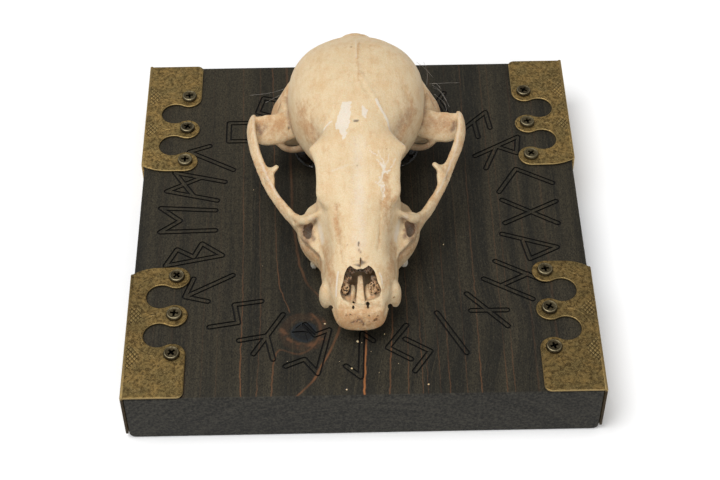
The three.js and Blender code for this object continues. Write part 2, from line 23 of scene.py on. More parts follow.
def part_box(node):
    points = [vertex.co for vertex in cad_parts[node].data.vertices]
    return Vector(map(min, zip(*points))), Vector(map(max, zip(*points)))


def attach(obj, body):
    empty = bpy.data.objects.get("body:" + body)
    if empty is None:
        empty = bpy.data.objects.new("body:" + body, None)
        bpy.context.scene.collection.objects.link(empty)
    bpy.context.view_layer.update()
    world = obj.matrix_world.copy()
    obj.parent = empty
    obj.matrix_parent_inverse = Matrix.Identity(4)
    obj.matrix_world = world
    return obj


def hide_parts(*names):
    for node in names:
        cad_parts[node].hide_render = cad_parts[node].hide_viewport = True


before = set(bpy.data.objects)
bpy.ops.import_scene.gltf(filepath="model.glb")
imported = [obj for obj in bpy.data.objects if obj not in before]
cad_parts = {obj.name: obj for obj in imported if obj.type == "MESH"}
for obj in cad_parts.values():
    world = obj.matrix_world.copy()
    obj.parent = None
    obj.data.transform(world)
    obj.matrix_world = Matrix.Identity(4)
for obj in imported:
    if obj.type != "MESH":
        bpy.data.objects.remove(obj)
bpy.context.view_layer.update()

MM = 0.001
BOARD_LOW, BOARD_HIGH = (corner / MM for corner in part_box("board"))
SKULL_LOW, SKULL_HIGH = (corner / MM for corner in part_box("skull"))
BOARD_FACE = BOARD_HIGH.z
HALF_SIDE = BOARD_HIGH.x
SKULL_PLACE = Vector(((SKULL_LOW.x + SKULL_HIGH.x) / 2, SKULL_LOW.y, BOARD_FACE))
TO_SKULL = Matrix.Translation(SKULL_PLACE)
SIDES = (-1, 1)
SIDE_WORDS = {-1: "left", 1: "right"}
BODY = "root"
LIGHT_GAIN = 1.28
SHARP_ANGLE = 1.2

log = logging.getLogger("wall_hanging")

Points = np.ndarray
Rows = Sequence[Sequence[float]]
Colour = tuple[float, float, float, float]


def paint(red: int, green: int, blue: int) -> Colour:
    """A colour as the lit surface shows it, as the linear colour that a shader takes.

    Args:
        red: Its red, from 0 to 255.
        green: Its green.
        blue: Its blue.

    Returns:
        The linear colour, made darker by as much as the studio light is over full white.
    """
    def straighten(level: int) -> float:
        """One channel as linear light.

        Args:
            level: Its level, from 0 to 255.

        Returns:
            The linear light.
        """
        share = level / 255
        linear = share / 12.92 if share <= 0.04045 else ((share + 0.055) / 1.055) ** 2.4
        return linear / LIGHT_GAIN
    return (straighten(red), straighten(green), straighten(blue), 1.0)


class Slot(Enum):
    """The record's finishes."""

    WOOD = "wood"
    BRASS = "brass"
    SCREW_METAL = "screw_metal"
    HANGER_STEEL = "hanger_steel"
    BONE = "bone"
    ENAMEL = "enamel"
    GLUE = "glue"


# Shader maths


def worked_out(operation: str, swapped: bool = False) -> Callable[..., "Signal"]:
    """Makes a method of Signal.

    Args:
        operation: What it works out from the signal and another value, if it takes one.
        swapped: Whether the other value comes first.

    Returns:
        The method.
    """
    def method(signal: "Signal", other: "Signal | float" = 0.0) -> "Signal":
        """The result, as a new signal."""
        first, second = (other, signal) if swapped else (signal, other)
        return signal.bench.math(operation, first, second)
    return method


class Signal:
    """A socket of a material, used in Python expressions as a number would be."""

    def __init__(self, bench: "Bench", socket: bpy.types.NodeSocket) -> None:
        """Wraps an output socket of a material."""
        self.bench = bench
        self.socket = socket

    __add__ = __radd__ = worked_out("ADD")
    __mul__ = __rmul__ = worked_out("MULTIPLY")
    __sub__, __rsub__ = worked_out("SUBTRACT"), worked_out("SUBTRACT", True)
    __truediv__, __rtruediv__ = worked_out("DIVIDE"), worked_out("DIVIDE", True)
    __pow__, __abs__ = worked_out("POWER"), worked_out("ABSOLUTE")
    most, least = worked_out("MAXIMUM"), worked_out("MINIMUM")

    def rise(self, low: float, high: float) -> "Signal":
        """A smooth step from 0 where this is low to 1 where it is high, even if low is above high."""
        settings = {"interpolation_type": "SMOOTHSTEP"}
        return self.bench.node("ShaderNodeMapRange", settings, {0: self, 1: low, 2: high})


class Bench:
    """One material's node tree, with the calls that the finishes share."""

    COLOUR_A, COLOUR_B, COLOUR_OUT = 6, 7, 2

    def __init__(self, name: str) -> None:
        """Starts a material with nothing in it.

        Args:
            name: The material's name.
        """
        self.material = bpy.data.materials.new(name)
        self.material.use_nodes = True
        self.tree = self.material.node_tree
        self.tree.nodes.clear()

    def node(self, kind: str, settings: dict, inputs: dict, output: int = 0) -> Signal:
        """Adds any node.

        Args:
            kind: The node's type.
            settings: Its own settings, set first. "stops" holds a ramp's places and colours.
            inputs: A value or a signal for each socket, by name or number.
            output: The number of the socket that comes back.

        Returns:
            The signal of that output.
        """
        node = self.tree.nodes.new(kind)
        for key, value in settings.items():
            if key == "stops":
                self._set_stops(node.color_ramp, value)
            else:
                setattr(node, key, value)
        for key, value in inputs.items():
            if isinstance(value, Signal):
                self.tree.links.new(value.socket, node.inputs[key])
            else:
                node.inputs[key].default_value = value
        return Signal(self, node.outputs[output])

    @staticmethod
    def _set_stops(ramp: bpy.types.ColorRamp, stops: Sequence[tuple[float, Colour]]) -> None:
        """Gives a ramp its stops.

        Args:
            ramp: The ramp.
            stops: The place and colour of each, in order.
        """
        while len(ramp.elements) < len(stops):
            ramp.elements.new(1.0)
        for element, (place, colour) in zip(ramp.elements, stops):
            element.position = place
            element.color = colour

    def math(self, operation: str, first: Signal | float, second: Signal | float = 0.0) -> Signal:
        """One Math node: an operation on two values."""
        return self.node("ShaderNodeMath", {"operation": operation}, {0: first, 1: second})

    def place(self) -> Signal:
        """The point's place on the piece, in millimetres, as a vector."""
        spot = self.node("ShaderNodeTexCoord", {}, {}, 3)
        return self.stretch(spot, (1 / MM,) * 3)

    def stretch(self, vector: Signal, scale: Sequence[float]) -> Signal:
        """A vector with each axis multiplied by its own factor."""
        settings = {"operation": "MULTIPLY"}
        return self.node("ShaderNodeVectorMath", settings, {0: vector, 1: tuple(scale)})

    def split(self, vector: Signal) -> tuple[Signal, Signal, Signal]:
        """Takes a vector apart.

        Args:
            vector: The vector.

        Returns:
            Its x, y and z.
        """
        node = self.tree.nodes.new("ShaderNodeSeparateXYZ")
        self.tree.links.new(vector.socket, node.inputs[0])
        return tuple(Signal(self, socket) for socket in node.outputs)

    def join(self, x: Signal | float, y: Signal | float, z: Signal | float) -> Signal:
        """A vector of three numbers."""
        return self.node("ShaderNodeCombineXYZ", {}, {0: x, 1: y, 2: z})

    def clouds(self, vector: Signal, size: float, detail: float = 3.0, rough: float = 0.55,
               swirl: float = 0.0) -> Signal:
        """Soft noise.

        Args:
            vector: Where it is read.
            size: The size of its spots, in the vector's units.
            detail: The number of finer layers.
            rough: How strong the finer layers are.
            swirl: How far it is distorted.

        Returns:
            The noise, about 0.5 on average.
        """
        inputs = {"Vector": vector, "Scale": 1 / size, "Detail": detail,
                  "Roughness": rough, "Distortion": swirl}
        return self.node("ShaderNodeTexNoise", {}, inputs)

    def cells(self, vector: Signal, size: float, feature: str = "F1") -> Signal:
        """The distance to scattered cell centres or cell edges, in cells, size being a cell's."""
        settings = {"feature": feature}
        return self.node("ShaderNodeTexVoronoi", settings, {"Vector": vector, "Scale": 1 / size})

    def bell(self, value: Signal, width: float) -> Signal:
        """A soft bump that is 1 where a value is 0 and about a third at the width."""
        return self.math("POWER", math.e, -1.0 * (value / width) ** 2.0)

    def mask(self, name: str) -> Signal:
        """A number stored on the mesh."""
        return self.node("ShaderNodeAttribute", {"attribute_name": name}, {}, 2)

    def coats(self, colour: Signal | Colour,
              *coats: tuple[Signal | float, Signal | Colour]) -> Signal:
        """Coats of colour over each other.

        Args:
            colour: The lowest colour.
            *coats: How much of each coat shows and its colour, the lowest first.

        Returns:
            The mixed colour.
        """
        settings = {"data_type": "RGBA", "blend_type": "MIX", "clamp_factor": True}
        for share, coat in coats:
            inputs = {0: share, self.COLOUR_A: colour, self.COLOUR_B: coat}
            colour = self.node("ShaderNodeMix", settings, inputs, self.COLOUR_OUT)
        return colour

    def relief(self, height: Signal, depth: float, strength: float = 1.0) -> Signal:
        """A bumped normal from a height of 0 to 1, where depth is what 1 stands for in mm."""
        inputs = {"Strength": strength, "Distance": depth * MM, "Height": height}
        return self.node("ShaderNodeBump", {}, inputs)

    def finish(self, **sockets: Signal | Colour | float) -> bpy.types.Material:
        """Ends the material with one Principled shader.

        Args:
            **sockets: What goes into each socket, with underscores for the spaces.

        Returns:
            The finished material.
        """
        inputs = {key.replace("_", " "): value for key, value in sockets.items()}
        shader = self.node("ShaderNodeBsdfPrincipled", {}, inputs)
        end = self.tree.nodes.new("ShaderNodeOutputMaterial")
        self.tree.links.new(shader.socket, end.inputs["Surface"])
        return self.material


# Mesh tools


def placed(name: str, data: bpy.types.ID) -> bpy.types.Object:
    """A new object, linked to the scene.

    Args:
        name: The object's name.
        data: Its mesh, light or camera.

    Returns:
        The object.
    """
    thing = bpy.data.objects.new(name, data)
    bpy.context.scene.collection.objects.link(thing)
    return thing


def shape(build: Callable[[bmesh.types.BMesh], None]) -> bpy.types.Mesh:
    """Makes a closed mesh.

    Args:
        build: A function that fills a bmesh.

    Returns:
        The mesh, with its open ends filled and its faces pointing outwards.
    """
    work = bmesh.new()
    build(work)
    bmesh.ops.holes_fill(work, edges=work.edges[:], sides=0)
    bmesh.ops.recalc_face_normals(work, faces=work.faces[:])
    mesh = bpy.data.meshes.new("shape")
    work.to_mesh(mesh)
    work.free()
    return mesh


def modified(mesh: bpy.types.Mesh, *steps: tuple[str, dict]) -> bpy.types.Mesh:
    """A mesh after some modifiers.

    Args:
        mesh: The mesh to start from, which stays as it is.
        *steps: The type and the settings of each modifier.

    Returns:
        The new mesh.
    """
    holder = placed("holder", mesh)
    for kind, settings in steps:
        modifier = holder.modifiers.new(kind, kind)
        for key, value in settings.items():
            setattr(modifier, key, value)
    scene_graph = bpy.context.evaluated_depsgraph_get()
    result = bpy.data.meshes.new_from_object(holder.evaluated_get(scene_graph))
    bpy.data.objects.remove(holder)
    return result


def carved(mesh: bpy.types.Mesh, *tools: bpy.types.Mesh,
           operation: str = "DIFFERENCE") -> bpy.types.Mesh:
    """A mesh cut by, joined with or kept inside other closed meshes.

    Args:
        mesh: The mesh to start from.
        *tools: The other meshes.
        operation: DIFFERENCE, UNION or INTERSECT.

    Returns:
        The new mesh.
    """
    holders = [placed("tool", tool) for tool in tools]
    result = modified(mesh, *[
        ("BOOLEAN", {"object": holder, "operation": operation, "solver": "MANIFOLD"})
        for holder in holders])
    for holder in holders:
        bpy.data.objects.remove(holder)
    return result


def joined(meshes: Iterable[bpy.types.Mesh]) -> bpy.types.Mesh:
    """Several meshes as one, each still a closed shell of its own.

    Args:
        meshes: The closed meshes.

    Returns:
        The mesh.
    """
    work = bmesh.new()
    for mesh in meshes:
        work.from_mesh(mesh)
    result = bpy.data.meshes.new("joined")
    work.to_mesh(result)
    work.free()
    return result


def loft(rings: Sequence[Points | Sequence[Vector]]) -> bpy.types.Mesh:
    """Skins a row of rings into one body, closed at both ends.

    Args:
        rings: The points, by ring and by place round the ring.

    Returns:
        The closed mesh.
    """
    table = np.array(rings, float)

    def build(work: bmesh.types.BMesh) -> None:
        """Pulls one face from ring to ring.

        Args:
            work: The bmesh.
        """
        disc = bmesh.ops.create_circle(work, cap_ends=True, segments=table.shape[1], radius=1.0)
        face = disc["verts"][0].link_faces[0]
        for number, ring in enumerate(table):
            if number:
                face = bmesh.ops.extrude_discrete_faces(work, faces=[face])["faces"][0]
            for vert, point in zip(face.verts, ring):
                vert.co = point
    return shape(build)


def slab(corners: Iterable[Sequence[float]], shift: Sequence[float]) -> bpy.types.Mesh:
    """A flat face pulled out into a body.

    Args:
        corners: The face's corners.
        shift: How far it is pulled, and which way.

    Returns:
        The closed mesh.
    """
    def build(work: bmesh.types.BMesh) -> None:
        """Draws the face and pulls it.

        Args:
            work: The bmesh.
        """
        face = work.faces.new([work.verts.new(corner) for corner in corners])
        grown = bmesh.ops.extrude_face_region(work, geom=[face])["geom"]
        moved = [item for item in grown if isinstance(item, bmesh.types.BMVert)]
        bmesh.ops.translate(work, verts=moved, vec=shift)
    return shape(build)


def bevelled(work: bmesh.types.BMesh, width: float, segments: int,
             angle: float = SHARP_ANGLE) -> None:
    """Bevels the sharp edges.

    Args:
        work: The bmesh.
        width: The bevel's width.
        segments: The number of faces across it.
        angle: The angle between two faces, in radians, above which their edge is sharp.
    """
    sharp = [edge for edge in work.edges if edge.calc_face_angle(0) > angle]
    bmesh.ops.bevel(work, geom=sharp, offset=width, segments=segments, profile=0.5,
                    affect="EDGES", material=-1)


def ramp(values: Points, low: float, high: float) -> Points:
    """0 where the values are at low, 1 where they are at high, and straight between them."""
    return np.clip((values - low) / (high - low), 0, 1)


def hump(values: Points, width: float) -> Points:
    """1 where the values are 0, and about a third at the width."""
    return np.exp(-(values / width) ** 2)


def turns(count: int) -> Points:
    """The angles of evenly spaced places round a circle."""
    return np.linspace(0, 2 * np.pi, count, endpoint=False)


def refined(rows: Rows, steps: int) -> Points:
    """Given rows with more rows on a smooth curve between them.

    Args:
        rows: The rows.
        steps: The number of steps between two of them.

    Returns:
        All the rows.
    """
    table = np.array(rows, float)
    ends = (2 * table[:1] - table[1:2], 2 * table[-1:] - table[-2:-1])
    padded = np.vstack([ends[0], table, ends[1]])
    t = np.linspace(0, 1, steps, endpoint=False)[:, None]
    spans = []
    for a, b, c, d in zip(padded, padded[1:], padded[2:], padded[3:]):
        slopes = (c - a) * t + (2 * a - 5 * b + 4 * c - d) * t ** 2
        spans.append(b + 0.5 * (slopes + (3 * b - a - 3 * c + d) * t ** 3))
    return np.vstack([*spans, table[-1:]])


def way_off(points: Points, path: Rows) -> Points:
    """How far each point is from a line of straight stretches.

    Args:
        points: The points.
        path: The line's corners.

    Returns:
        The distances.
    """
    corners = np.array(path, float)
    nearest = np.full(len(points), np.inf)
    if len(corners) == 1:
        return np.linalg.norm(points - corners[0], axis=1)
    for start, end in zip(corners, corners[1:]):
        run = end - start
        share = np.clip((points - start) @ run / (run @ run), 0, 1)
        gap = np.linalg.norm(points - start - share[:, None] * run, axis=1)
        nearest = np.minimum(nearest, gap)
    return nearest


def depth_inside(points: Points, outline: Rows) -> Points:
    """How deep each flat point is inside an outline, and below 0 outside it.

    Args:
        points: The points' first two coordinates.
        outline: The outline's corners.

    Returns:
        The depths.
    """
    corners = np.array(outline, float)
    after = np.roll(corners, -1, axis=0)
    inside = np.zeros(len(points), bool)
    for (ax, ay), (bx, by) in zip(corners, after):
        spans = (ay > points[:, 1]) != (by > points[:, 1])
        with np.errstate(divide="ignore", invalid="ignore"):
            crossing = ax + (points[:, 1] - ay) * (bx - ax) / (by - ay)
        inside ^= spans & (points[:, 0] < crossing)
    gap = way_off(points, np.vstack([corners, corners[:1]]))
    return np.where(inside, gap, -gap)


class Clay:
    """A dense mesh whose points are moved as a sculptor would move them."""

    def __init__(self, mesh: bpy.types.Mesh) -> None:
        """Reads a mesh's points and edges.

        Args:
            mesh: The mesh.
        """
        self.mesh = mesh
        self.count = len(mesh.vertices)
        self.points = self._read("co")
        flat = np.empty(len(mesh.edges) * 2, np.int32)
        mesh.edges.foreach_get("vertices", flat)
        self.edges = flat.reshape(-1, 2)
        self.tree: KDTree | None = None

    def _read(self, key: str) -> Points:
        """The mesh's points or normals as an array.

        Args:
            key: Which it is, co or normal.

        Returns:
            One row for each point.
        """
        flat = np.empty(self.count * 3, np.float32)
        self.mesh.vertices.foreach_get(key, flat)
        return flat.reshape(-1, 3).astype(float)

    def settle(self) -> None:
        """Writes the points back to the mesh."""
        self.mesh.vertices.foreach_set("co", self.points.astype(np.float32).ravel())
        self.mesh.update()

    def normals(self) -> Points:
        """The direction that the surface faces at each point."""
        self.settle()
        return self._read("normal")

    def spread(self, values: Points) -> Points:
        """Each point's mean of its neighbours' values.

        Args:
            values: One number or vector for each point.

        Returns:
            The means.
        """
        a, b = self.edges.T
        ways = np.bincount(np.concatenate([a, b]), minlength=self.count)
        columns = values.reshape(self.count, -1).T
        sums = [np.bincount(a, column[b], self.count) + np.bincount(b, column[a], self.count)
                for column in columns]
        return (np.stack(sums, axis=1) / ways[:, None]).reshape(values.shape)

    def relax(self, rounds: int, share: float = 0.5, keep: float = 0.0,
              where: Points | float = 1.0) -> None:
        """Smooths the surface.

        Args:
            rounds: The number of passes.
            share: How far a point goes to its neighbours' mean in one pass.
            keep: How far it swells back after each pass, which holds thin parts.
            where: How much of this each point takes.
        """
        weight = np.broadcast_to(np.asarray(where, float), (self.count,))[:, None]
        for _ in range(rounds):
            self.points += share * weight * (self.spread(self.points) - self.points)
            if keep:
                self.points -= keep * weight * (self.spread(self.points) - self.points)
        self.settle()

    def push(self, amount: Points) -> None:
        """Moves each point out along its normal by its amount."""
        self.points += self.normals() * amount[:, None]
        self.settle()

    def laid(self, path: Rows) -> Points:
        """A line laid onto the surface.

        Args:
            path: Its corners, or one point.

        Returns:
            Its corners on the surface, about a millimetre apart.
        """
        if self.tree is None:
            self.tree = KDTree(self.count)
            for number, point in enumerate(self.points):
                self.tree.insert(point, number)
            self.tree.balance()
        corners = np.array(path, float)
        spots = [corners[0]]
        for start, end in zip(corners, corners[1:]):
            count = max(1, round(float(np.linalg.norm(end - start))))
            spots += [start + (end - start) * step / count for step in range(1, count + 1)]
        found = [self.tree.find(spot)[0] for spot in spots]
        kept = found[:1] + [b for a, b in zip(found, found[1:]) if (b - a).length > 0.01]
        return np.array(kept)

    def sunk(self, rounds: int) -> Points:
        """How far each point lies below the smoothed surface, in millimetres.

        Args:
            rounds: The passes of smoothing, more for wider hollows.

        Returns:
            The depths, below 0 on ridges.
        """
        soft = self.points
        for _ in range(rounds):
            soft = self.spread(soft)
        return ((soft - self.points) * self.normals()).sum(axis=1)

    def near(self, path: Rows, reach: float) -> Points:
        """A weight of 1 on a line or point, and down to about a third at the reach."""
        return hump(way_off(self.points, path), reach)

    def store(self, name: str, values: Points) -> None:
        """Keeps one number for each point on the mesh, for the material to read."""
        attribute = self.mesh.attributes.new(name, "FLOAT", "POINT")
        attribute.data.foreach_set("value", np.clip(values, 0, 1).astype(np.float32))

    def crumple(self, size: float, seed: float) -> Points:
        """Soft noise from about -1 to 1 with spots of a size, another one for each seed."""
        shift = Vector((seed, 2.7 * seed, -1.3 * seed))
        return np.array([noise.noise(Vector(point) / size + shift) for point in self.points])


def merged(meshes: Iterable[bpy.types.Mesh], voxel: float) -> Clay:
    """Joins overlapping bodies into one skin whose faces are as long as the voxel."""
    remesh = ("REMESH", {"mode": "VOXEL", "voxel_size": voxel})
    return Clay(modified(joined(meshes), remesh))


@dataclass(frozen=True)
class Piece:
    """How a finished mesh becomes a piece: its name, finish, CAD nodes and crease in degrees."""

    name: str
    slot: Slot
    stands_for: tuple[str, ...] = ()
    crease: float = 180.0

    def publish(self, mesh: bpy.types.Mesh, material: bpy.types.Material,
                place: Matrix = Matrix.Identity(4)) -> None:
        """Makes the piece's object, riding on the body and standing for its CAD nodes.

        Args:
            mesh: The mesh, in millimetres.
            material: Its finish.
            place: What brings it to the shared frame, still in millimetres.
        """
        mesh.transform(Matrix.Scale(MM, 4) @ place)
        if place.determinant() < 0:
            mesh.flip_normals()
        mesh.name = self.name
        mesh.materials.clear()
        mesh.materials.append(material)
        mesh.shade_smooth()
        if self.crease < 180.0:
            mesh.set_sharp_from_angle(angle=math.radians(self.crease))
        thing = placed(self.name, mesh)
        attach(thing, BODY)
        if self.stands_for:
            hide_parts(*self.stands_for)
        log.info("%s: %d triangles", self.name, sum(len(p.vertices) - 2 for p in mesh.polygons))


# Finishes


@dataclass(frozen=True)
class BoneFinish:
    """Old cleaned bone: ivory with tan blotches, scraped white patches, brown stains, painted shade in
    hollows, pits, creases and on shaded sides, and a few painted highlights on edges.
    """

    name: str = "aged_bone"
    ivory: Colour = paint(236, 212, 169)
    tan: Colour = paint(226, 192, 142)
    ochre: Colour = paint(198, 148, 92)
    scraped: Colour = paint(240, 229, 210)
    # Brown stain colour, also used as painted shade.
    stain_and_shade: Colour = paint(116, 76, 44)
    # Painted shade for pits, holes and cracks.
    dark: Colour = paint(38, 25, 16)

    def material(self) -> bpy.types.Material:
        """Wires up the finish.

        Returns:
            The material.
        """
        bench = Bench(self.name)
        place = bench.place()
        streaks = bench.clouds(bench.stretch(place, (1.0, 0.2, 1.0)), 1.7, 4.0, 0.62)
        blotches = bench.clouds(place, 5.0, 5.0, 0.6) * 0.55 + streaks * 0.45
        freckles = bench.clouds(place, 1.1, 4.0, 0.68)
        patches = bench.clouds(place, 3.2, 4.0, 0.6)
        fine = bench.clouds(place, 0.35, 3.0, 0.6)
        scrape_and_highlight, warm = bench.mask("scrape_and_highlight"), bench.mask("warm")
        mottle = (freckles - 0.5) * 1.6 + (streaks - 0.5) * 1.1 + (patches - 0.5) * 1.4
        chalk = scrape_and_highlight + (freckles - 0.5) * 0.35 + (streaks - 0.5) * 0.4
        # The stain mask is real brown stain mixed with painted shade in hollows, creases and on shaded
        # sides.
        darkening = bench.mask("stain_and_shade") * (0.55 + freckles * 0.9)
        dots = bench.cells(place, 1.3).rise(0.24, 0.1) * warm.rise(0.55, 1.0)
        grains = bench.coats(self.ochre, (fine.rise(0.3, 0.7), self.scraped))
        # The dark coat is painted shade in pits, holes and cracks.
        colour = bench.coats(self.ivory, (blotches.rise(0.38, 0.66), self.tan),
                             ((mottle + warm).rise(0.02, 1.15), self.ochre),
                             (chalk.rise(0.3, 0.8), self.scraped),
                             (darkening.rise(0.08, 0.95), self.stain_and_shade),
                             (bench.mask("dark").rise(0.1, 0.9), self.dark),
                             (dots * 0.8, self.stain_and_shade), (0.2, grains))
        pores = bench.cells(place, 0.9)
        height = freckles * 0.5 + fine * 0.3 + pores.rise(0.0, 0.25) * 0.2
        return bench.finish(Base_Color=colour, Roughness=0.62 - scrape_and_highlight * 0.1,
                            Normal=bench.relief(height, 0.3),
                            Subsurface_Weight=0.06, Subsurface_Scale=0.0015)


# Skull


@dataclass(frozen=True)
class Bone:
    """One part of the skull: a loft through given sections.

    Each row is x, y and z of the centre, the half width, the reach above and below, the
    fullness, which is 2 for an ellipse and more for a squarer section, and a lean in degrees.
    """

    rows: tuple[tuple[float, ...], ...]
    around: int = 20
    across: tuple[float, float, float] = (1.0, 0.0, 0.0)
    along: tuple[float, float, float] | None = None
    steps: int = 5

    def rings(self, side: int) -> Points:
        """The sections' points.

        Args:
            side: 1 for the right side and -1 for the left.

        Returns:
            The points by section and by place round it.
        """
        rows = refined(self.rows, self.steps)
        rows[:, [0, 7]] *= side
        centres = rows[:, :3]
        runs = np.gradient(centres, axis=0)
        cosines, sines = np.cos(turns(self.around)), np.sin(turns(self.around))
        rings = []
        for centre, run, row in zip(centres, runs, rows):
            along = Vector(self.along or run).normalized()
            across = Vector(self.across)
            wide = (across - along * across.dot(along)).normalized()
            up = wide.cross(along)
            if up.z < -0.1:
                up.negate()
            lean = Matrix.Rotation(math.radians(row[7]), 3, along)
            wide, up = lean @ wide, lean @ up
            bend = 2 / row[6]
            u = np.sign(cosines) * np.abs(cosines) ** bend * row[3]
            v = np.sign(sines) * np.abs(sines) ** bend
            v *= np.where(v > 0, row[4], row[5])
            rings.append(centre + u[:, None] * np.array(wide) + v[:, None] * np.array(up))
        return np.array(rings)

    def build(self, side: int = 1) -> bpy.types.Mesh:
        """The closed mesh, on one side."""
        return loft(self.rings(side))


def trunk(rows: Rows, around: int = 48) -> Bone:
    """A part that runs straight back on the midline.

    Args:
        rows: The distance back, half width, height of the widest line, top, bottom, fullness.
        around: The number of points round a section.

    Returns:
        The part.
    """
    stations = tuple((0, y, z, half, top - z, z - bottom, fullness, 0)
                     for y, half, z, top, bottom, fullness in rows)
    return Bone(stations, around, along=(0.0, 1.0, 0.0))


def ball(x: float, y: float, z: float, wide: float, long: float, high: float,
         side: int = 1) -> bpy.types.Mesh:
    """A round part or a round hollow.

    Args:
        x: Its middle, to the side.
        y: Its middle, back from the snout.
        z: Its middle, above the board's face.
        wide: Its half width.
        long: Its half length.
        high: Its half height.
        side: 1 for the right side and -1 for the left.

    Returns:
        The closed mesh.
    """
    place = Matrix.Translation((side * x, y, z)) @ Matrix.Diagonal((wide, long, high, 1))
    return shape(lambda work: bmesh.ops.create_uvsphere(
        work, u_segments=28, v_segments=18, radius=1.0, matrix=place))


ACROSS_Y = (0.0, 1.0, 0.0)


@dataclass(frozen=True)
class Mark:
    """A line, spot or soft area on the bone that is raised, sunk or tinted; some tints are painted shade
    and a few are painted highlight.
    """

    path: tuple[tuple[float, float, float], ...]
    reach: float
    height: float = 0.0
    tint: str = ""
    strength: float = 0.0
    both: bool = False

    def lines(self) -> list[Rows]:
        """Its path, and the mirrored one if it is on both sides."""
        mirrored = tuple((-x, y, z) for x, y, z in self.path)
        return [self.path, mirrored] if self.both else [self.path]


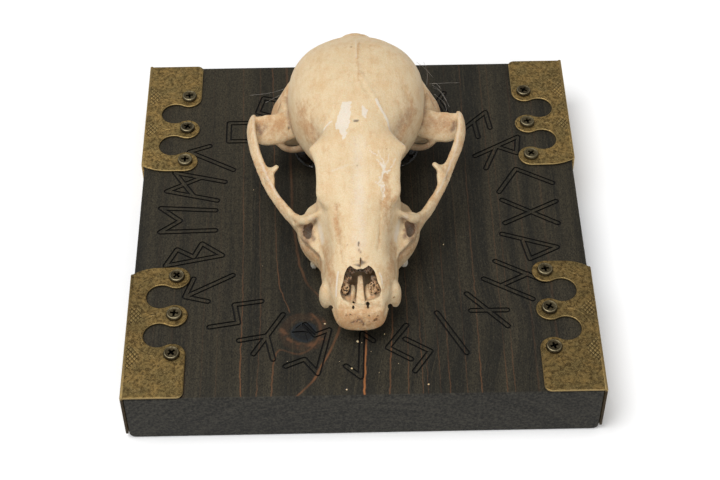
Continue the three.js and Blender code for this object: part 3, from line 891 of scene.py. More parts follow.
SKULL_MARKS = (
    Mark(((0.6, 92, 37.8), (0.5, 78.1, 42), (0.5, 70.8, 42.5), (1.1, 64.4, 42.4)), 0.8, 0.2),
    # Painted shadow down the right side of the crest.
    Mark(((1.0, 90, 38.7), (0.9, 76, 42.2), (0.9, 68, 42.4)), 0.5, 0, "warm", 0.7),
    Mark(((0.2, 92, 38), (0.2, 86, 40.2), (0.1, 79, 42)), 0.5, 0, "scrape_and_highlight", 0.55),
    Mark(((-1.3, 86, 40.3),), 0.5, -0.3, "stain_and_shade", 0.8),
    Mark(((2.0, 63.1, 42.1),), 0.9, 0.35),
    Mark(((-2.4, 99, 32.6), (2.6, 99, 32.6)), 1.7, 0.7, "warm", 0.4),
    Mark(((14.8, 46.8, 36), (11.6, 49.6, 37), (9.4, 54.7, 38.6), (7.3, 57.6, 40.4),
          (5.5, 61, 41.3), (3.4, 66, 42), (1.5, 71, 42.6)), 0.7, 0.24),
    Mark(((-14.8, 46.8, 36), (-12.6, 50.4, 36), (-10.4, 54.2, 38), (-7.6, 57.4, 40.2),
          (-5.2, 61.4, 41.4), (-2.6, 67, 42.2), (0.2, 72, 42.6)), 0.7, 0.2),
    Mark(((5.7, 60.9, 41.3), (7.3, 57.3, 40.2), (9.4, 54.7, 38), (11.4, 50.4, 36.8), (13.6, 47.4, 35.8)),
         0.5, 0, "scrape_and_highlight", 1.2),
    Mark(((-7.5, 54.2, 39), (-10.6, 53.2, 36)), 0.45, 0, "scrape_and_highlight", 0.85),
    # Painted shade in the hollows behind the brow points, laid over brown streaks in the bone; the right
    # side gets more.
    Mark(((12.6, 52.6, 34), (14.6, 57, 34)), 2.6, -0.5, "stain_and_shade", 0.32, True),
    Mark(((14, 57, 31.4), (16.9, 64.6, 33.2)), 4.4, 0, "warm", 0.8, True),
    Mark(((13.2, 50.4, 33.2), (12.4, 55, 31)), 1.3, -0.2, "stain_and_shade", 0.4, True),
    Mark(((13.4, 54, 34), (16, 62, 34)), 2.8, 0, "stain_and_shade", 0.42),
    Mark(((16.4, 59, 35.5), (12.5, 63, 38.6)), 1.0, -0.12, "warm", 0.35, True),
    Mark(((18.4, 65, 35.4), (13.8, 69.6, 39.2)), 1.0, -0.1, "warm", 0.3, True),
    Mark(((0.0, 47, 39.4), (0.0, 38, 36.8), (0.0, 29, 33.4)), 2.4, -0.38),
    Mark(((0.2, 46, 40.2), (0.1, 38, 37), (0, 24, 31.6), (0, 15, 27.4)), 4.2, 0,
         "scrape_and_highlight", 0.5),
    Mark(((12.8, 25, 24), (11.4, 18.4, 22)), 3.2, -0.55, both=True),
    Mark(((13.6, 31.4, 22.8), (13.4, 27.6, 21.6), (12.4, 23.4, 20.6)), 2.0, 0, "scrape_and_highlight", 0.62,
         True),
    Mark(((-6.7, 27.9, 30.8), (-6.2, 22.3, 28.2), (-5.7, 16.3, 26), (-4.9, 11.2, 24.4)), 0.42,
         -0.16, "warm", 0.55),
    Mark(((7.5, 30.9, 33.6), (6.1, 22, 28.2), (5.4, 14.5, 25.7)), 0.42, -0.16, "warm", 0.5),
    Mark(((-6.5, 27, 30.4), (-6.3, 22.3, 28.2), (-5.6, 16.6, 26.6)), 1.5, 0, "warm", 0.72),
    Mark(((8.2, 35, 35), (8.0, 29, 31.5), (8.4, 24, 27)), 1.6, 0, "warm", 0.8),
    Mark(((9.4, 30, 30), (9.8, 22, 26)), 1.6, 0, "warm", 0.55),
    Mark(((6.0, 42.6, 37.8), (8.0, 38.6, 36.6), (7.2, 35.4, 35.4), (6.4, 33, 34.7)), 0.4, 0,
         "scrape_and_highlight", 0.72),
    Mark(((9.3, 42, 36.8), (8.8, 39.4, 36.6), (7.4, 36.6, 35.8)), 0.4, 0, "scrape_and_highlight", 0.62),
    Mark(((6.9, 35, 35.4), (6.6, 31, 33.6), (7.2, 28.6, 32)), 0.4, 0, "scrape_and_highlight", 0.6),
    Mark(((-7.7, 36.7, 36), (-2.9, 38.1, 37)), 0.9, 0, "scrape_and_highlight", 0.5),
    Mark(((3.7, 42.9, 38.3), (5.8, 41, 37.5)), 0.4, 0, "scrape_and_highlight", 0.68),
    Mark(((5.5, 40.1, 37.2), (7.9, 37.7, 36.3)), 0.4, 0, "scrape_and_highlight", 0.77),
    Mark(((6.5, 38.4, 36.6), (8.9, 35.8, 35.4)), 0.4, 0, "scrape_and_highlight", 0.81),
    Mark(((7, 36.1, 35.9), (9.4, 36.9, 35.5)), 0.4, 0, "scrape_and_highlight", 0.77),
    Mark(((6.2, 34.5, 35.3), (7.5, 32.3, 34.2)), 0.4, 0, "scrape_and_highlight", 0.81),
    Mark(((7.3, 32.2, 34.2), (7.5, 29.6, 32.3)), 0.4, 0, "scrape_and_highlight", 0.77),
    Mark(((5.3, 32.8, 34.8), (7.4, 31.4, 33.8)), 0.4, 0, "scrape_and_highlight", 0.68),
    Mark(((11.3, 41.1, 36), (9.8, 37.8, 35.7)), 0.4, 0, "scrape_and_highlight", 0.59),
    Mark(((5.6, 42, 37.4), (9.3, 42.6, 37), (9.2, 37, 35.4), (7.8, 31, 33.2)), 0.9, -0.06,
         "warm", 0.35),
    # Painted shade in the pit on the crest.
    Mark(((-0.7, 52.6, 40.8), (0.1, 52.5, 40.8)), 0.5, -0.3, "dark", 0.8),
    Mark(((0, 38.2, 37),), 0.36, -0.12, "stain_and_shade", 0.7),
    # Painted shade in a pit on the nose bones.
    Mark(((-0.1, 15.6, 28.2), (-0.2, 14.6, 27.8)), 0.34, -0.2, "dark", 0.8),
    Mark(((-0.5, 13.2, 27.2), (0.1, 12.6, 26.9)), 0.42, -0.1, "stain_and_shade", 0.75),
    Mark(((-3.8, 15, 28),), 0.36, -0.1, "stain_and_shade", 0.6),
    Mark(((8.6, 43.7, 37.7),), 0.36, -0.1, "stain_and_shade", 0.5),
    # Painted shade in a small hole.
    Mark(((-21.5, 71.4, 19.6),), 0.5, -0.2, "dark", 0.7),
    Mark(((-24.1, 82, 19.9), (-24.8, 80.3, 18)), 0.35, -0.2, "dark", 0.6),
    Mark(((23, 85.2, 20.6), (24.2, 82.3, 19.8), (25.3, 81, 17.4)), 0.35, -0.2, "dark", 0.6),
    Mark(((-30, 70.2, 19.6), (-28.5, 73, 19.6)), 1.2, -0.1, "stain_and_shade", 0.5),
    Mark(((20.5, 33.5, 15.5), (17.6, 31, 18.3), (15.4, 28.8, 19.8), (13.8, 26.4, 20)), 0.8, 0.4,
         both=True),
    Mark(((16.8, 28, 16.0), (15.6, 25.6, 17.0), (14.4, 22, 17.4), (13.4, 19, 17.4)), 0.7, 0.42,
         both=True),
    # Painted shade in the groove under the lip and in the hollow below the orbit.
    Mark(((18.2, 29, 13.6), (16.6, 24.6, 14.6), (14.8, 20, 15)), 0.9, -0.5, "stain_and_shade", 0.5, True),
    Mark(((17.4, 31, 16.8), (15.4, 28.4, 18), (14.2, 25.6, 18.8)), 1.1, -0.25, "stain_and_shade", 0.75,
         True),
    Mark(((16.4, 36.4, 15.5), (19.6, 38, 15.4)), 1.4, -0.1, "stain_and_shade", 0.45, True),
    # Painted shade in the small hole in front of the orbit.
    Mark(((15.2, 34.6, 20.2),), 0.5, 0, "dark", 0.8, True),
    # Brown stain with painted shade in the groove at the end of the jaw shelf.
    Mark(((30.6, 69, 19.6), (31.0, 74, 19.8)), 0.9, -0.3, "stain_and_shade", 0.75, True),
    Mark(((24, 73, 19.6), (29, 72.2, 19.6)), 4.4, 0, "warm", 0.75, True),
    # Painted shade on the right jaw shelf, which faces away from the light.
    Mark(((24, 73, 19.6), (29, 72.2, 19.6)), 4.2, 0, "stain_and_shade", 0.34),
    # Painted shadow in the crease between the mastoid and the braincase.
    Mark(((20.6, 76, 21.4), (21.4, 84, 22), (18.8, 91, 22.6)), 1.3, -0.4, "stain_and_shade", 0.5, True),
    # Painted shadow under the cheek arch, in front of the jaw joint.
    Mark(((22, 68, 14), (17.5, 67, 12), (12, 58, 13)), 3.6, 0, "stain_and_shade", 0.6, True),
    Mark(((23.5, 83, 19), (24.6, 83, 10)), 6.0, 0, "warm", 0.75, True),
    Mark(((19.4, 36.5, 16), (28, 50, 19), (33, 66, 21), (32.6, 75, 21)), 4.4, 0, "warm", 0.5,
         True),
    # Painted highlight along the top edge of each cheek arch.
    Mark(((24, 42.6, 18.2), (27.0, 47.6, 19.6), (30.6, 57, 21.6), (32.4, 68, 22.6),
          (32.7, 74.5, 22.6)), 0.8, 0, "scrape_and_highlight", 0.55, True),
    Mark(((28.4, 49, 17), (31.4, 58, 18.4), (33.6, 66, 19)), 1.2, 0, "warm", 0.35, True),
    # Painted shade on the lower right side of the braincase, away from the light.
    Mark(((18.6, 50, 34), (20.6, 60, 30)), 5.4, 0, "warm", 0.32),
    Mark(((8.8, 9, 19), (10, 20, 20)), 3.4, 0, "warm", 0.74, True),
    Mark(((12.4, 18, 13), (15, 30, 13), (16, 38, 12)), 4.0, 0, "warm", 0.7, True),
    Mark(((12.4, 19, 15.4), (14.6, 24, 14.4), (17, 30, 12.6), (17.6, 36, 10)), 2.4, 0, "stain_and_shade",
         0.36, True),
    # Painted shade deep in the hollow below the orbit.
    Mark(((15.2, 29.6, 15.8), (14.6, 27, 16.4)), 2.0, 0, "stain_and_shade", 0.95, True),
    Mark(((15.6, 31.6, 16.4), (15.0, 28.6, 16.6)), 2.2, 0, "stain_and_shade", 1.2, True),
    Mark(((15.4, 31.0, 16.0), (15.0, 28.8, 16.4)), 1.7, 0, "dark", 0.8, True),
    # Painted shade in the holes at the foot of the nose opening.
    Mark(((2.1, 4.2, 13.0), (2.2, 5.2, 12.2)), 1.3, 0, "dark", 1.0, True),
    Mark(((-4, 0, 10), (4, 0, 10)), 5.4, 0, "warm", 1.1),
    Mark(((-5.4, 1.6, 13), (5.4, 1.6, 13)), 3.0, 0, "warm", 0.8),
    Mark(((-4, 0, 8), (4, 0, 8)), 4.2, 0, "stain_and_shade", 0.2),
    Mark(((-5.2, 1.4, 8), (-3, 0.8, 12)), 1.4, -0.1, "stain_and_shade", 0.2),
    Mark(((3, 0.6, 8), (6, 1.6, 11)), 1.5, -0.1, "stain_and_shade", 0.26),
    # Painted shade in the crease on the front of the snout and in the hollow beside it.
    Mark(((-2.6, 0, 9.9), (-0.3, 0.1, 11.1), (0.9, 0, 8.1)), 0.42, -0.35, "stain_and_shade", 0.9),
    Mark(((-2.4, 0, 8.6), (-1.2, 0, 9)), 1.1, -0.3, "warm", 0.5),
    Mark(((4.6, 0.4, 13), (4.2, 0.4, 10.4)), 0.7, -0.1, "warm", 0.6),
    Mark(((-0.6, 1.6, 12.8), (0.6, 1.6, 12.6)), 0.5, -0.12, "warm", 0.7),
    Mark(((6.6, 2.6, 10.2), (7.4, 4.2, 12.4)), 0.8, -0.3, "warm", 0.5, True),
    Mark(((8.2, 6.6, 15), (8.8, 8, 17)), 1.2, 0.25, both=True),
    Mark(((-6.3, 9.6, 22), (-6.8, 7.6, 19.7), (-7.3, 5.2, 16)), 0.42, 0, "scrape_and_highlight", 0.95),
    Mark(((5.6, 9, 21.8), (6.3, 7, 19.4)), 0.42, 0, "scrape_and_highlight", 0.85),
    # Painted shade in the crack at the tip of the nose bones.
    Mark(((0.25, 10.9, 25.9), (0.0, 9.6, 24.2)), 0.4, 0, "dark", 0.9),
)
SCRAPED_PATCHES = (
    ((-4.2, 59.9), (-1.6, 59.7), (-2, 53.6), (-3.9, 46.3), (-5.3, 49.1), (-6.6, 51.8)),
    ((1.7, 58.3), (3.6, 56.5), (2.7, 53.7), (1.6, 53.7)),
)


@dataclass
class Skull:
    """The skull: rough bones joined, smoothed, cut and then sculpted."""

    braincase: Bone = trunk((
        (44, 10.8, 26, 38.3, 13, 2.3), (51, 11.6, 26, 40.6, 12.5, 2.3),
        (58, 15.6, 24.5, 42, 12, 2.3), (65, 19.2, 23.5, 42.6, 11.5, 2.3),
        (73, 21.2, 23.5, 42.6, 11, 2.4), (80, 21.8, 23.3, 41.9, 10.5, 2.4),
        (87, 20.7, 23, 40.2, 10, 2.4), (93, 17.8, 22.5, 37.4, 9.5, 2.4),
        (97.4, 12.6, 21.5, 34.6, 10, 2.3), (99.3, 6, 20.5, 31, 13, 2.1)), 64)
    snout: Bone = trunk((
        (0, 4.6, 8.4, 11, 6.0, 2.4), (1.2, 6.9, 8.4, 13.6, 5.0, 2.5),
        (4, 8, 9, 18.4, 4.9, 2.5), (8, 9.2, 10.4, 23.6, 5.1, 2.3),
        (12, 10.9, 11.4, 26.6, 5.4, 2.1), (17, 11, 12.4, 28.8, 6, 2.1),
        (23, 11.7, 13, 31.4, 6.4, 2.1), (29, 12.9, 15, 33.6, 7, 2.2),
        (34, 13.2, 18, 35.6, 8, 2.3), (40, 12, 23, 37.4, 11, 2.4),
        (46, 11, 26, 39.2, 13, 2.3), (54, 10.4, 26, 40, 14, 2.3)))
    palate: Bone = trunk((
        (5.5, 6.8, 7, 9, 5.2, 3), (9.5, 8.2, 7.5, 11, 5, 3), (14, 10.6, 7.5, 11, 4.9, 3),
        (20, 11.1, 7.5, 11, 4.7, 3), (26, 13.3, 7.6, 10.5, 4.5, 3), (31, 16.4, 7.6, 10, 4.4, 3),
        (36, 18.2, 7.6, 9.8, 4.4, 3), (41.5, 18.2, 7.6, 9.8, 4.5, 3), (46.5, 15.4, 8, 10.4, 5.1, 3),
        (50, 12, 9.2, 12.5, 6.4, 2.8), (55, 8.6, 10, 15, 7.6, 2.6), (67, 7.6, 11, 16, 8.6, 2.6),
        (80, 8.4, 11, 16, 8.8, 2.6), (96, 8, 12, 16, 9.6, 2.4)))
    brow: Bone = trunk((
        (26, 7, 27.4, 30.2, 24, 2.2), (31, 12.2, 30.4, 34.4, 26, 2.2),
        (36, 12.5, 32.8, 36.5, 28, 2.2), (41, 12.8, 34, 37.9, 30, 2.2),
        (44.6, 13.8, 34.2, 39, 31.6, 2), (46.8, 14.8, 34.2, 39.7, 32.2, 1.9),
        (48.6, 13, 34.4, 40.1, 31.6, 2), (53, 11, 32.5, 40.6, 28, 2.2)))
    mastoid: Bone = Bone((
        (20.5, 83, 18.5, 4, 6.5, 6.5, 2.2, 0), (24.2, 83, 14, 3.2, 5.4, 5.4, 2.2, 0),
        (25.2, 83.2, 8.5, 2.4, 3.4, 3.4, 2, 0), (24.4, 83.4, 4.2, 1.2, 1.6, 1.6, 2, 0)))
    maxilla: Bone = Bone((
        (8.2, 13, 11.5, 3.0, 5.0, 5.0, 2.3, 0), (8.5, 17, 12, 3.1, 5.8, 5.6, 2.4, 0),
        (8.8, 21, 12, 3.4, 6.2, 5.6, 2.5, 0), (10.2, 24, 12.4, 4.5, 6.4, 6.0, 2.5, 0),
        (11.8, 27, 12.4, 5.0, 6.6, 6.4, 2.5, 0), (12.8, 30, 12.4, 5.3, 6.4, 6.6, 2.5, 0),
        (13.6, 34, 11.5, 5.3, 5.0, 6.4, 2.5, 0), (13.6, 37, 10.0, 4.9, 3.2, 5.4, 2.5, 0),
        (13.0, 42, 8.6, 4.9, 1.8, 4.0, 2.5, 0),
        (12.0, 47, 8.6, 3.6, 1.8, 3.6, 2.5, 0)), 28, along=(0.0, 1.0, 0.0))
    cheek_arch: Bone = Bone((
        (16.6, 33.4, 13.4, 2.0, 3.4, 4.6, 2.3, -8), (19.9, 36.6, 15.2, 1.25, 2.4, 2.8, 2.2, -20),
        (22.3, 39.4, 15.9, 1.0, 2.1, 2.3, 2.2, -26), (25.0, 43.3, 16.8, 0.95, 1.75, 1.85, 2.2, -36),
        (26.9, 46.6, 17.8, 0.9, 1.9, 1.9, 2.2, -46), (27.7, 49.8, 18.8, 0.9, 2.9, 2.8, 2.2, -46),
        (29.4, 53.2, 19.3, 0.95, 2.1, 2.2, 2.2, -42), (30.9, 57.4, 19.9, 1.0, 1.95, 2.05, 2.2, -40),
        (32.1, 62, 20.4, 1.1, 1.95, 2.2, 2.2, -34), (33.0, 68, 20.8, 1.15, 1.95, 2.5, 2.2, -28),
        (33.1, 73, 20.5, 1.1, 1.95, 2.7, 2.2, -18), (32.5, 76, 19.6, 0.9, 1.5, 2.6, 2.2, -5)), 24)
    cheek_spur: Bone = Bone((
        (28.4, 51.2, 19.0, 0.9, 3.4, 3.4, 2.2, 0), (26.6, 51.5, 20.5, 0.85, 2.5, 2.5, 2.2, 0),
        (25.4, 51.9, 21.5, 0.8, 1.75, 1.75, 2.2, 0), (24.5, 52.3, 22.3, 0.7, 1.15, 1.15, 2, 0)))
    orbit_rim: Bone = Bone((
        (20.6, 37.4, 16.6, 0.9, 0.9, 0.9, 2, 0), (18.9, 35.4, 17.2, 1.15, 1.15, 1.15, 2, 0),
        (17.0, 32.6, 19.0, 1.2, 1.2, 1.2, 2, 0), (15.2, 31.0, 21.2, 1.1, 1.1, 1.1, 2, 0),
        (12.9, 30.4, 23.6, 0.9, 0.9, 0.9, 2, 0), (10.6, 30.6, 25.6, 0.8, 0.8, 0.8, 2, 0)), 14)
    tear_bone: tuple[float, ...] = (15.0, 33.5, 16.6, 3.9, 1.9, 4.0)
    jaw_bar: Bone = Bone((
        (25.4, 69.5, 15.4, 0.9, 0.9, 0.9, 2, 0), (23.2, 68.8, 13.4, 1.0, 1.0, 1.0, 2, 0),
        (21.2, 69.2, 12.0, 1.1, 1.1, 1.1, 2, 0), (18.6, 70, 11.4, 1.2, 1.2, 1.2, 2, 0),
        (14, 72, 11.4, 1.6, 1.6, 1.6, 2, 0)), across=ACROSS_Y)
    jaw_shelf: Bone = Bone((
        (14, 76, 18, 5.4, 2.4, 2.6, 2.3, 38), (20, 74.4, 18.4, 4.9, 1.8, 2, 2.3, 40),
        (25, 72.1, 18.4, 4.8, 1.5, 1.6, 2.3, 42), (29.5, 71.4, 18.8, 4.9, 1.3, 1.5, 2.3, 44),
        (32.6, 72.2, 19.4, 3.6, 1, 1.2, 2.3, 50)), across=ACROSS_Y)
    jaw_stop: Bone = Bone((
        (12, 77.4, 10.4, 2, 4, 2.2, 2, 0), (20.5, 76.4, 9.6, 1.7, 5, 2.8, 2, 0),
        (26.8, 75.2, 11.6, 1.3, 4.6, 1.6, 2, 0)), across=ACROSS_Y)
    nape_crest: Bone = Bone((
        (-1.2, 98.4, 32.2, 2.2, 1.2, 4, 2, 0), (7.5, 96.8, 31, 2, 1.2, 4, 2, 0),
        (14.5, 93.2, 26.8, 2, 1.4, 4, 2, 0), (20.2, 88.6, 21.4, 2.4, 1.6, 4, 2, 0),
        (24.6, 84.8, 15.6, 3, 1.8, 4, 2, 0)), across=ACROSS_Y)
    ear_tube: Bone = Bone((
        (15, 81, 9.8, 3.4, 3.2, 3.2, 2, 0), (20, 79.2, 10.6, 2.8, 2.6, 2.6, 2, 0),
        (24.8, 78.2, 11.2, 2.6, 2.4, 2.4, 2, 0)), across=ACROSS_Y)
    neck_spur: Bone = Bone((
        (16.5, 90.6, 14, 3, 3, 3, 2, 0), (17.2, 91.2, 8, 2, 1.8, 1.8, 2, 0),
        (17.4, 91.2, 3.2, 1, 0.9, 0.9, 2, 0)))
    throat_wing: Bone = Bone((
        (6.6, 52, 10.2, 1, 2.5, 3.4, 2.3, 0), (6.2, 60, 9.6, 0.9, 2.5, 3.8, 2.3, 0),
        (6, 67, 8.6, 0.8, 2.5, 3.6, 2.3, 0), (6.2, 72, 5.8, 0.6, 0.8, 0.8, 2, 0)))
    canine_swelling: tuple[float, ...] = (10.2, 10.2, 10.2, 2.2, 3, 5.4)
    ear_capsule: tuple[float, ...] = (12.6, 83, 8.6, 6.2, 8.6, 7.3)
    neck_knuckle: tuple[float, ...] = (7.2, 97.2, 12, 4, 3.8, 4.6)
    neck_opening: tuple[float, ...] = (0, 101, 15.2, 6.2, 9, 5.2)
    canine_socket: Bone = Bone((
        (9.3, 9, 3.2, 1.7, 2.2, 2.2, 2, 0), (9.9, 10.6, 11.5, 1, 1.3, 1.3, 2, 0)))
    canine_notch: Bone = Bone((
        (8.7, 3.4, 13.0, 0.5, 0.5, 0.5, 2, 0), (8.7, 6, 9.9, 0.7, 0.7, 0.7, 2, 0),
        (8.8, 9, 6.2, 1.0, 1.0, 1.0, 2, 0)))
    hollows: tuple[tuple[float, ...], ...] = (
        (15.1, 29.6, 17.4, 1.9, 3.2, 2.1), (14.9, 35.2, 20.0, 0.6, 0.9, 0.9),
        (11.5, 4.4, 7.0, 3.0, 3.6, 4.0),
        (24.6, 77.6, 11.0, 1.8, 1.9, 1.8), (2.15, 3.9, 12.7, 0.85, 1.5, 1.7),
        (2.8, 3.6, 13.1, 0.55, 0.9, 0.8))
    pits: tuple[tuple[float, ...], ...] = (
        (4.3, 0.9, 10.6, 0.52, 0.9, 0.5), (2.4, 1.3, 12.2, 0.36, 0.7, 0.4),
        (5.0, 0.9, 11.6, 0.32, 0.6, 0.32), (0.9, 0.9, 11.6, 0.3, 0.6, 0.3),
        (-3.0, 1.0, 12.6, 0.32, 0.6, 0.32), (-5.6, 1.4, 10.4, 0.34, 0.6, 0.34),
        (-4.2, 1.0, 12.2, 0.34, 0.5, 0.34), (-1.6, 0.6, 10.8, 0.3, 0.5, 0.3),
        (9.9, 7.6, 12.2, 0.3, 0.5, 0.3), (-0.05, 14.8, 27.8, 0.22, 0.5, 0.5),
        (-21.5, 71.4, 18.6, 0.35, 0.5, 0.5), (0.12, 9.8, 25.2, 0.27, 2.1, 1.6))
    nose_foot: tuple[float, float] = (2.6, 13.4)
    nose_top: tuple[float, float] = (10.6, 25.4)
    nose_outline: tuple[tuple[float, float], ...] = (
        (-2.9, 13.2), (-3.8, 12.3), (-4.5, 10.9), (-4.85, 9.3), (-5.05, 8.1), (-5.55, 6.75),
        (-6.0, 5.0), (-5.6, 3.7), (-5.1, 2.5), (-4.3, 1.45), (-2.8, 0.55), (-0.15, 0.15),
        (2.55, 0.55), (4.4, 2.0), (5.75, 3.4), (6.15, 5.45), (5.65, 6.9), (5.0, 8.3),
        (4.75, 9.5), (4.2, 11.1), (3.45, 12.3), (2.45, 13.2), (1.9, 12.5), (0.8, 11.9),
        (0.15, 12.3), (-1.0, 11.8), (-1.65, 12.25), (-2.4, 12.85))
    nose_sections: tuple[tuple[float, ...], ...] = (
        (3.2, 0.6, 1.04, 1.0), (7.0, 1.2, 1.02, 1.0), (13.0, 1.5, 0.9, 0.95), (20.0, 0.6, 0.6, 0.7))
    right_arch_in: float = 1.2
    right_arch_x: tuple[float, float] = (17.0, 22.0)
    right_arch_y: float = 50.0
    right_arch_reach: float = 12.0
    soft_voxel: float = 0.6
    fine_voxel: float = 0.495
    swells: tuple[tuple[float, float, float], ...] = ((6.0, 3.0, 0.16), (1.9, 8.0, 0.05))
    patches_above: float = 34.0
    ragged: float = 0.5
    patch_tint: float = 1.2
    # How the painted shade in the hollows is found and how strong it is.
    hollow_rounds: int = 7
    hollow_depth: float = 0.22
    hollow_shade: float = 0.55

    def _rough(self) -> Clay:
        """The main masses, blended into each other.

        Returns:
            Their skin.
        """
        masses = [part.build() for part in (self.braincase, self.snout, self.palate, self.brow)]
        for side in SIDES:
            masses += [self.mastoid.build(side), self.maxilla.build(side)]
            for size in (self.canine_swelling, self.ear_capsule, self.neck_knuckle):
                masses.append(ball(*size, side))
        clay = merged(masses, self.soft_voxel)
        clay.relax(14, 0.5, 0.3)
        return clay

    def _fine(self, rough: Clay) -> Clay:
        """The masses with the thin and sharp parts added.

        Args:
            rough: The main masses.

        Returns:
            The whole skin.
        """
        parts = [rough.mesh, self.brow.build()]
        thin = (self.cheek_arch, self.cheek_spur, self.orbit_rim, self.jaw_shelf, self.jaw_bar,
                self.jaw_stop, self.nape_crest, self.ear_tube, self.neck_spur, self.throat_wing)
        for side in SIDES:
            parts += [part.build(side) for part in thin]
            parts.append(ball(*self.tear_bone, side))
        clay = merged(parts, self.fine_voxel)
        clay.relax(5, 0.5, 0.35)
        outside = ramp(clay.points[:, 0], *self.right_arch_x)
        bow = hump(clay.points[:, 1] - self.right_arch_y, self.right_arch_reach)
        clay.points[:, 0] -= self.right_arch_in * bow * outside
        clay.settle()
        return clay

    def nose_axes(self) -> tuple[Vector, Vector, Vector, Vector]:
        """How the nose opening slants.

        Returns:
            The foot, the top, the way up and the way in.
        """
        foot, top = Vector((0, *self.nose_foot)), Vector((0, *self.nose_top))
        rise = (top - foot).normalized()
        return foot, top, rise, Vector((0, rise.z, -rise.y))

    def _nose_tools(self) -> list[bpy.types.Mesh]:
        """The block in front of the slanting rim, and the hollow behind the opening.

        Returns:
            Both cutters.
        """
        foot, top, rise, inward = self.nose_axes()
        corners = [foot, top, top + Vector((0, 0.8, 15)), foot + Vector((0, -8, 27)),
                   foot + Vector((0, -8, 0))]
        half = Vector((20, 0, 0))
        ring = [foot + Vector((x, 0, 0)) + rise * t for x, t in self.nose_outline]
        middle = sum(ring, Vector()) / len(ring)
        rings = [[p - inward * 2.0 for p in ring], [p + inward * 0.8 for p in ring]]
        for back, drop, wide, tall in self.nose_sections:
            shift = Vector((0, back, back / 10 - drop))
            slant = max(0.0, 1 - back / 12)
            rings.append([middle + shift + Vector(((p.x - middle.x) * wide, 0,
                                                   (p.z - middle.z) * tall))
                          + Vector((0, (p.y - middle.y) * slant, 0)) for p in ring])
        return [slab([corner - half for corner in corners], 2 * half), loft(rings)]

    def _cut(self, fine: Clay) -> Clay:
        """The skin with its openings cut.

        Args:
            fine: The skin.

        Returns:
            The cut skin.
        """
        front = Clay(carved(fine.mesh, *self._nose_tools()))
        front.relax(2, 0.4, 0.3, front.near(((0.0, 3.4, 14.0), (0.0, 9.0, 23.0)), 6.5))
        front.relax(16, 0.5, 0.0, front.near(((-6.0, 1.4, 13.2), (6.0, 1.4, 13.2)), 2.4))
        tools = [ball(*self.neck_opening)]
        for side in SIDES:
            tools += [self.canine_socket.build(side), self.canine_notch.build(side)]
            tools += [ball(*hollow, side) for hollow in self.hollows]
        tools += [ball(*pit) for pit in self.pits]
        return Clay(carved(front.mesh, *tools))

    def build(self) -> Clay:
        """The finished skull, in its own frame."""
        return self._cut(self._fine(self._rough()))

    def sculpt(self, clay: Clay) -> dict[str, Points]:
        """Cuts and raises the marks, and works out where each tint goes.

        Args:
            clay: The skull.

        Returns:
            The masks by name.
        """
        tints = {name: np.zeros(clay.count) for name in ("scrape_and_highlight", "warm", "stain_and_shade", "dark")}
        rise = sum(clay.crumple(size, seed) * height for size, seed, height in self.swells)
        for mark in SKULL_MARKS:
            for line in mark.lines():
                near = clay.near(clay.laid(line), mark.reach)
                rise += near * mark.height
                if mark.tint:
                    tint = tints[mark.tint]
                    np.maximum(tint, near * mark.strength, out=tint)
        on_top = clay.points[:, 2] > self.patches_above
        ragged = clay.crumple(1.0, 5.0) * self.ragged
        for outline in SCRAPED_PATCHES:
            depth = depth_inside(clay.points[:, :2], outline) + ragged
            patch = ramp(depth, -0.25, 0.25) * on_top * self.patch_tint
            tints["scrape_and_highlight"] = np.maximum(tints["scrape_and_highlight"], patch)
        clay.push(rise)
        return tints

    def dress(self, clay: Clay, tints: dict[str, Points]) -> None:
        """Paints shade into the hollows through the stain mask, and stores the masks that the bone
        finish reads.

        Args:
            clay: The sculpted skull.
            tints: The masks by name.
        """
        # Painted shade: the further a point lies below the smoothed surface, the more stain colour it
        # gets.
        hollow = ramp(clay.sunk(self.hollow_rounds), 0, self.hollow_depth)
        tints["stain_and_shade"] = np.maximum(tints["stain_and_shade"], hollow * self.hollow_shade)
        for name, tint in tints.items():
            clay.store(name, tint)

    def make(self) -> None:
        """Builds the skull and publishes it."""
        clay = self.build()
        self.dress(clay, self.sculpt(clay))
        piece = Piece("skull_bone", Slot.BONE, ("skull",), crease=55.0)
        piece.publish(clay.mesh, BoneFinish().material(), TO_SKULL)


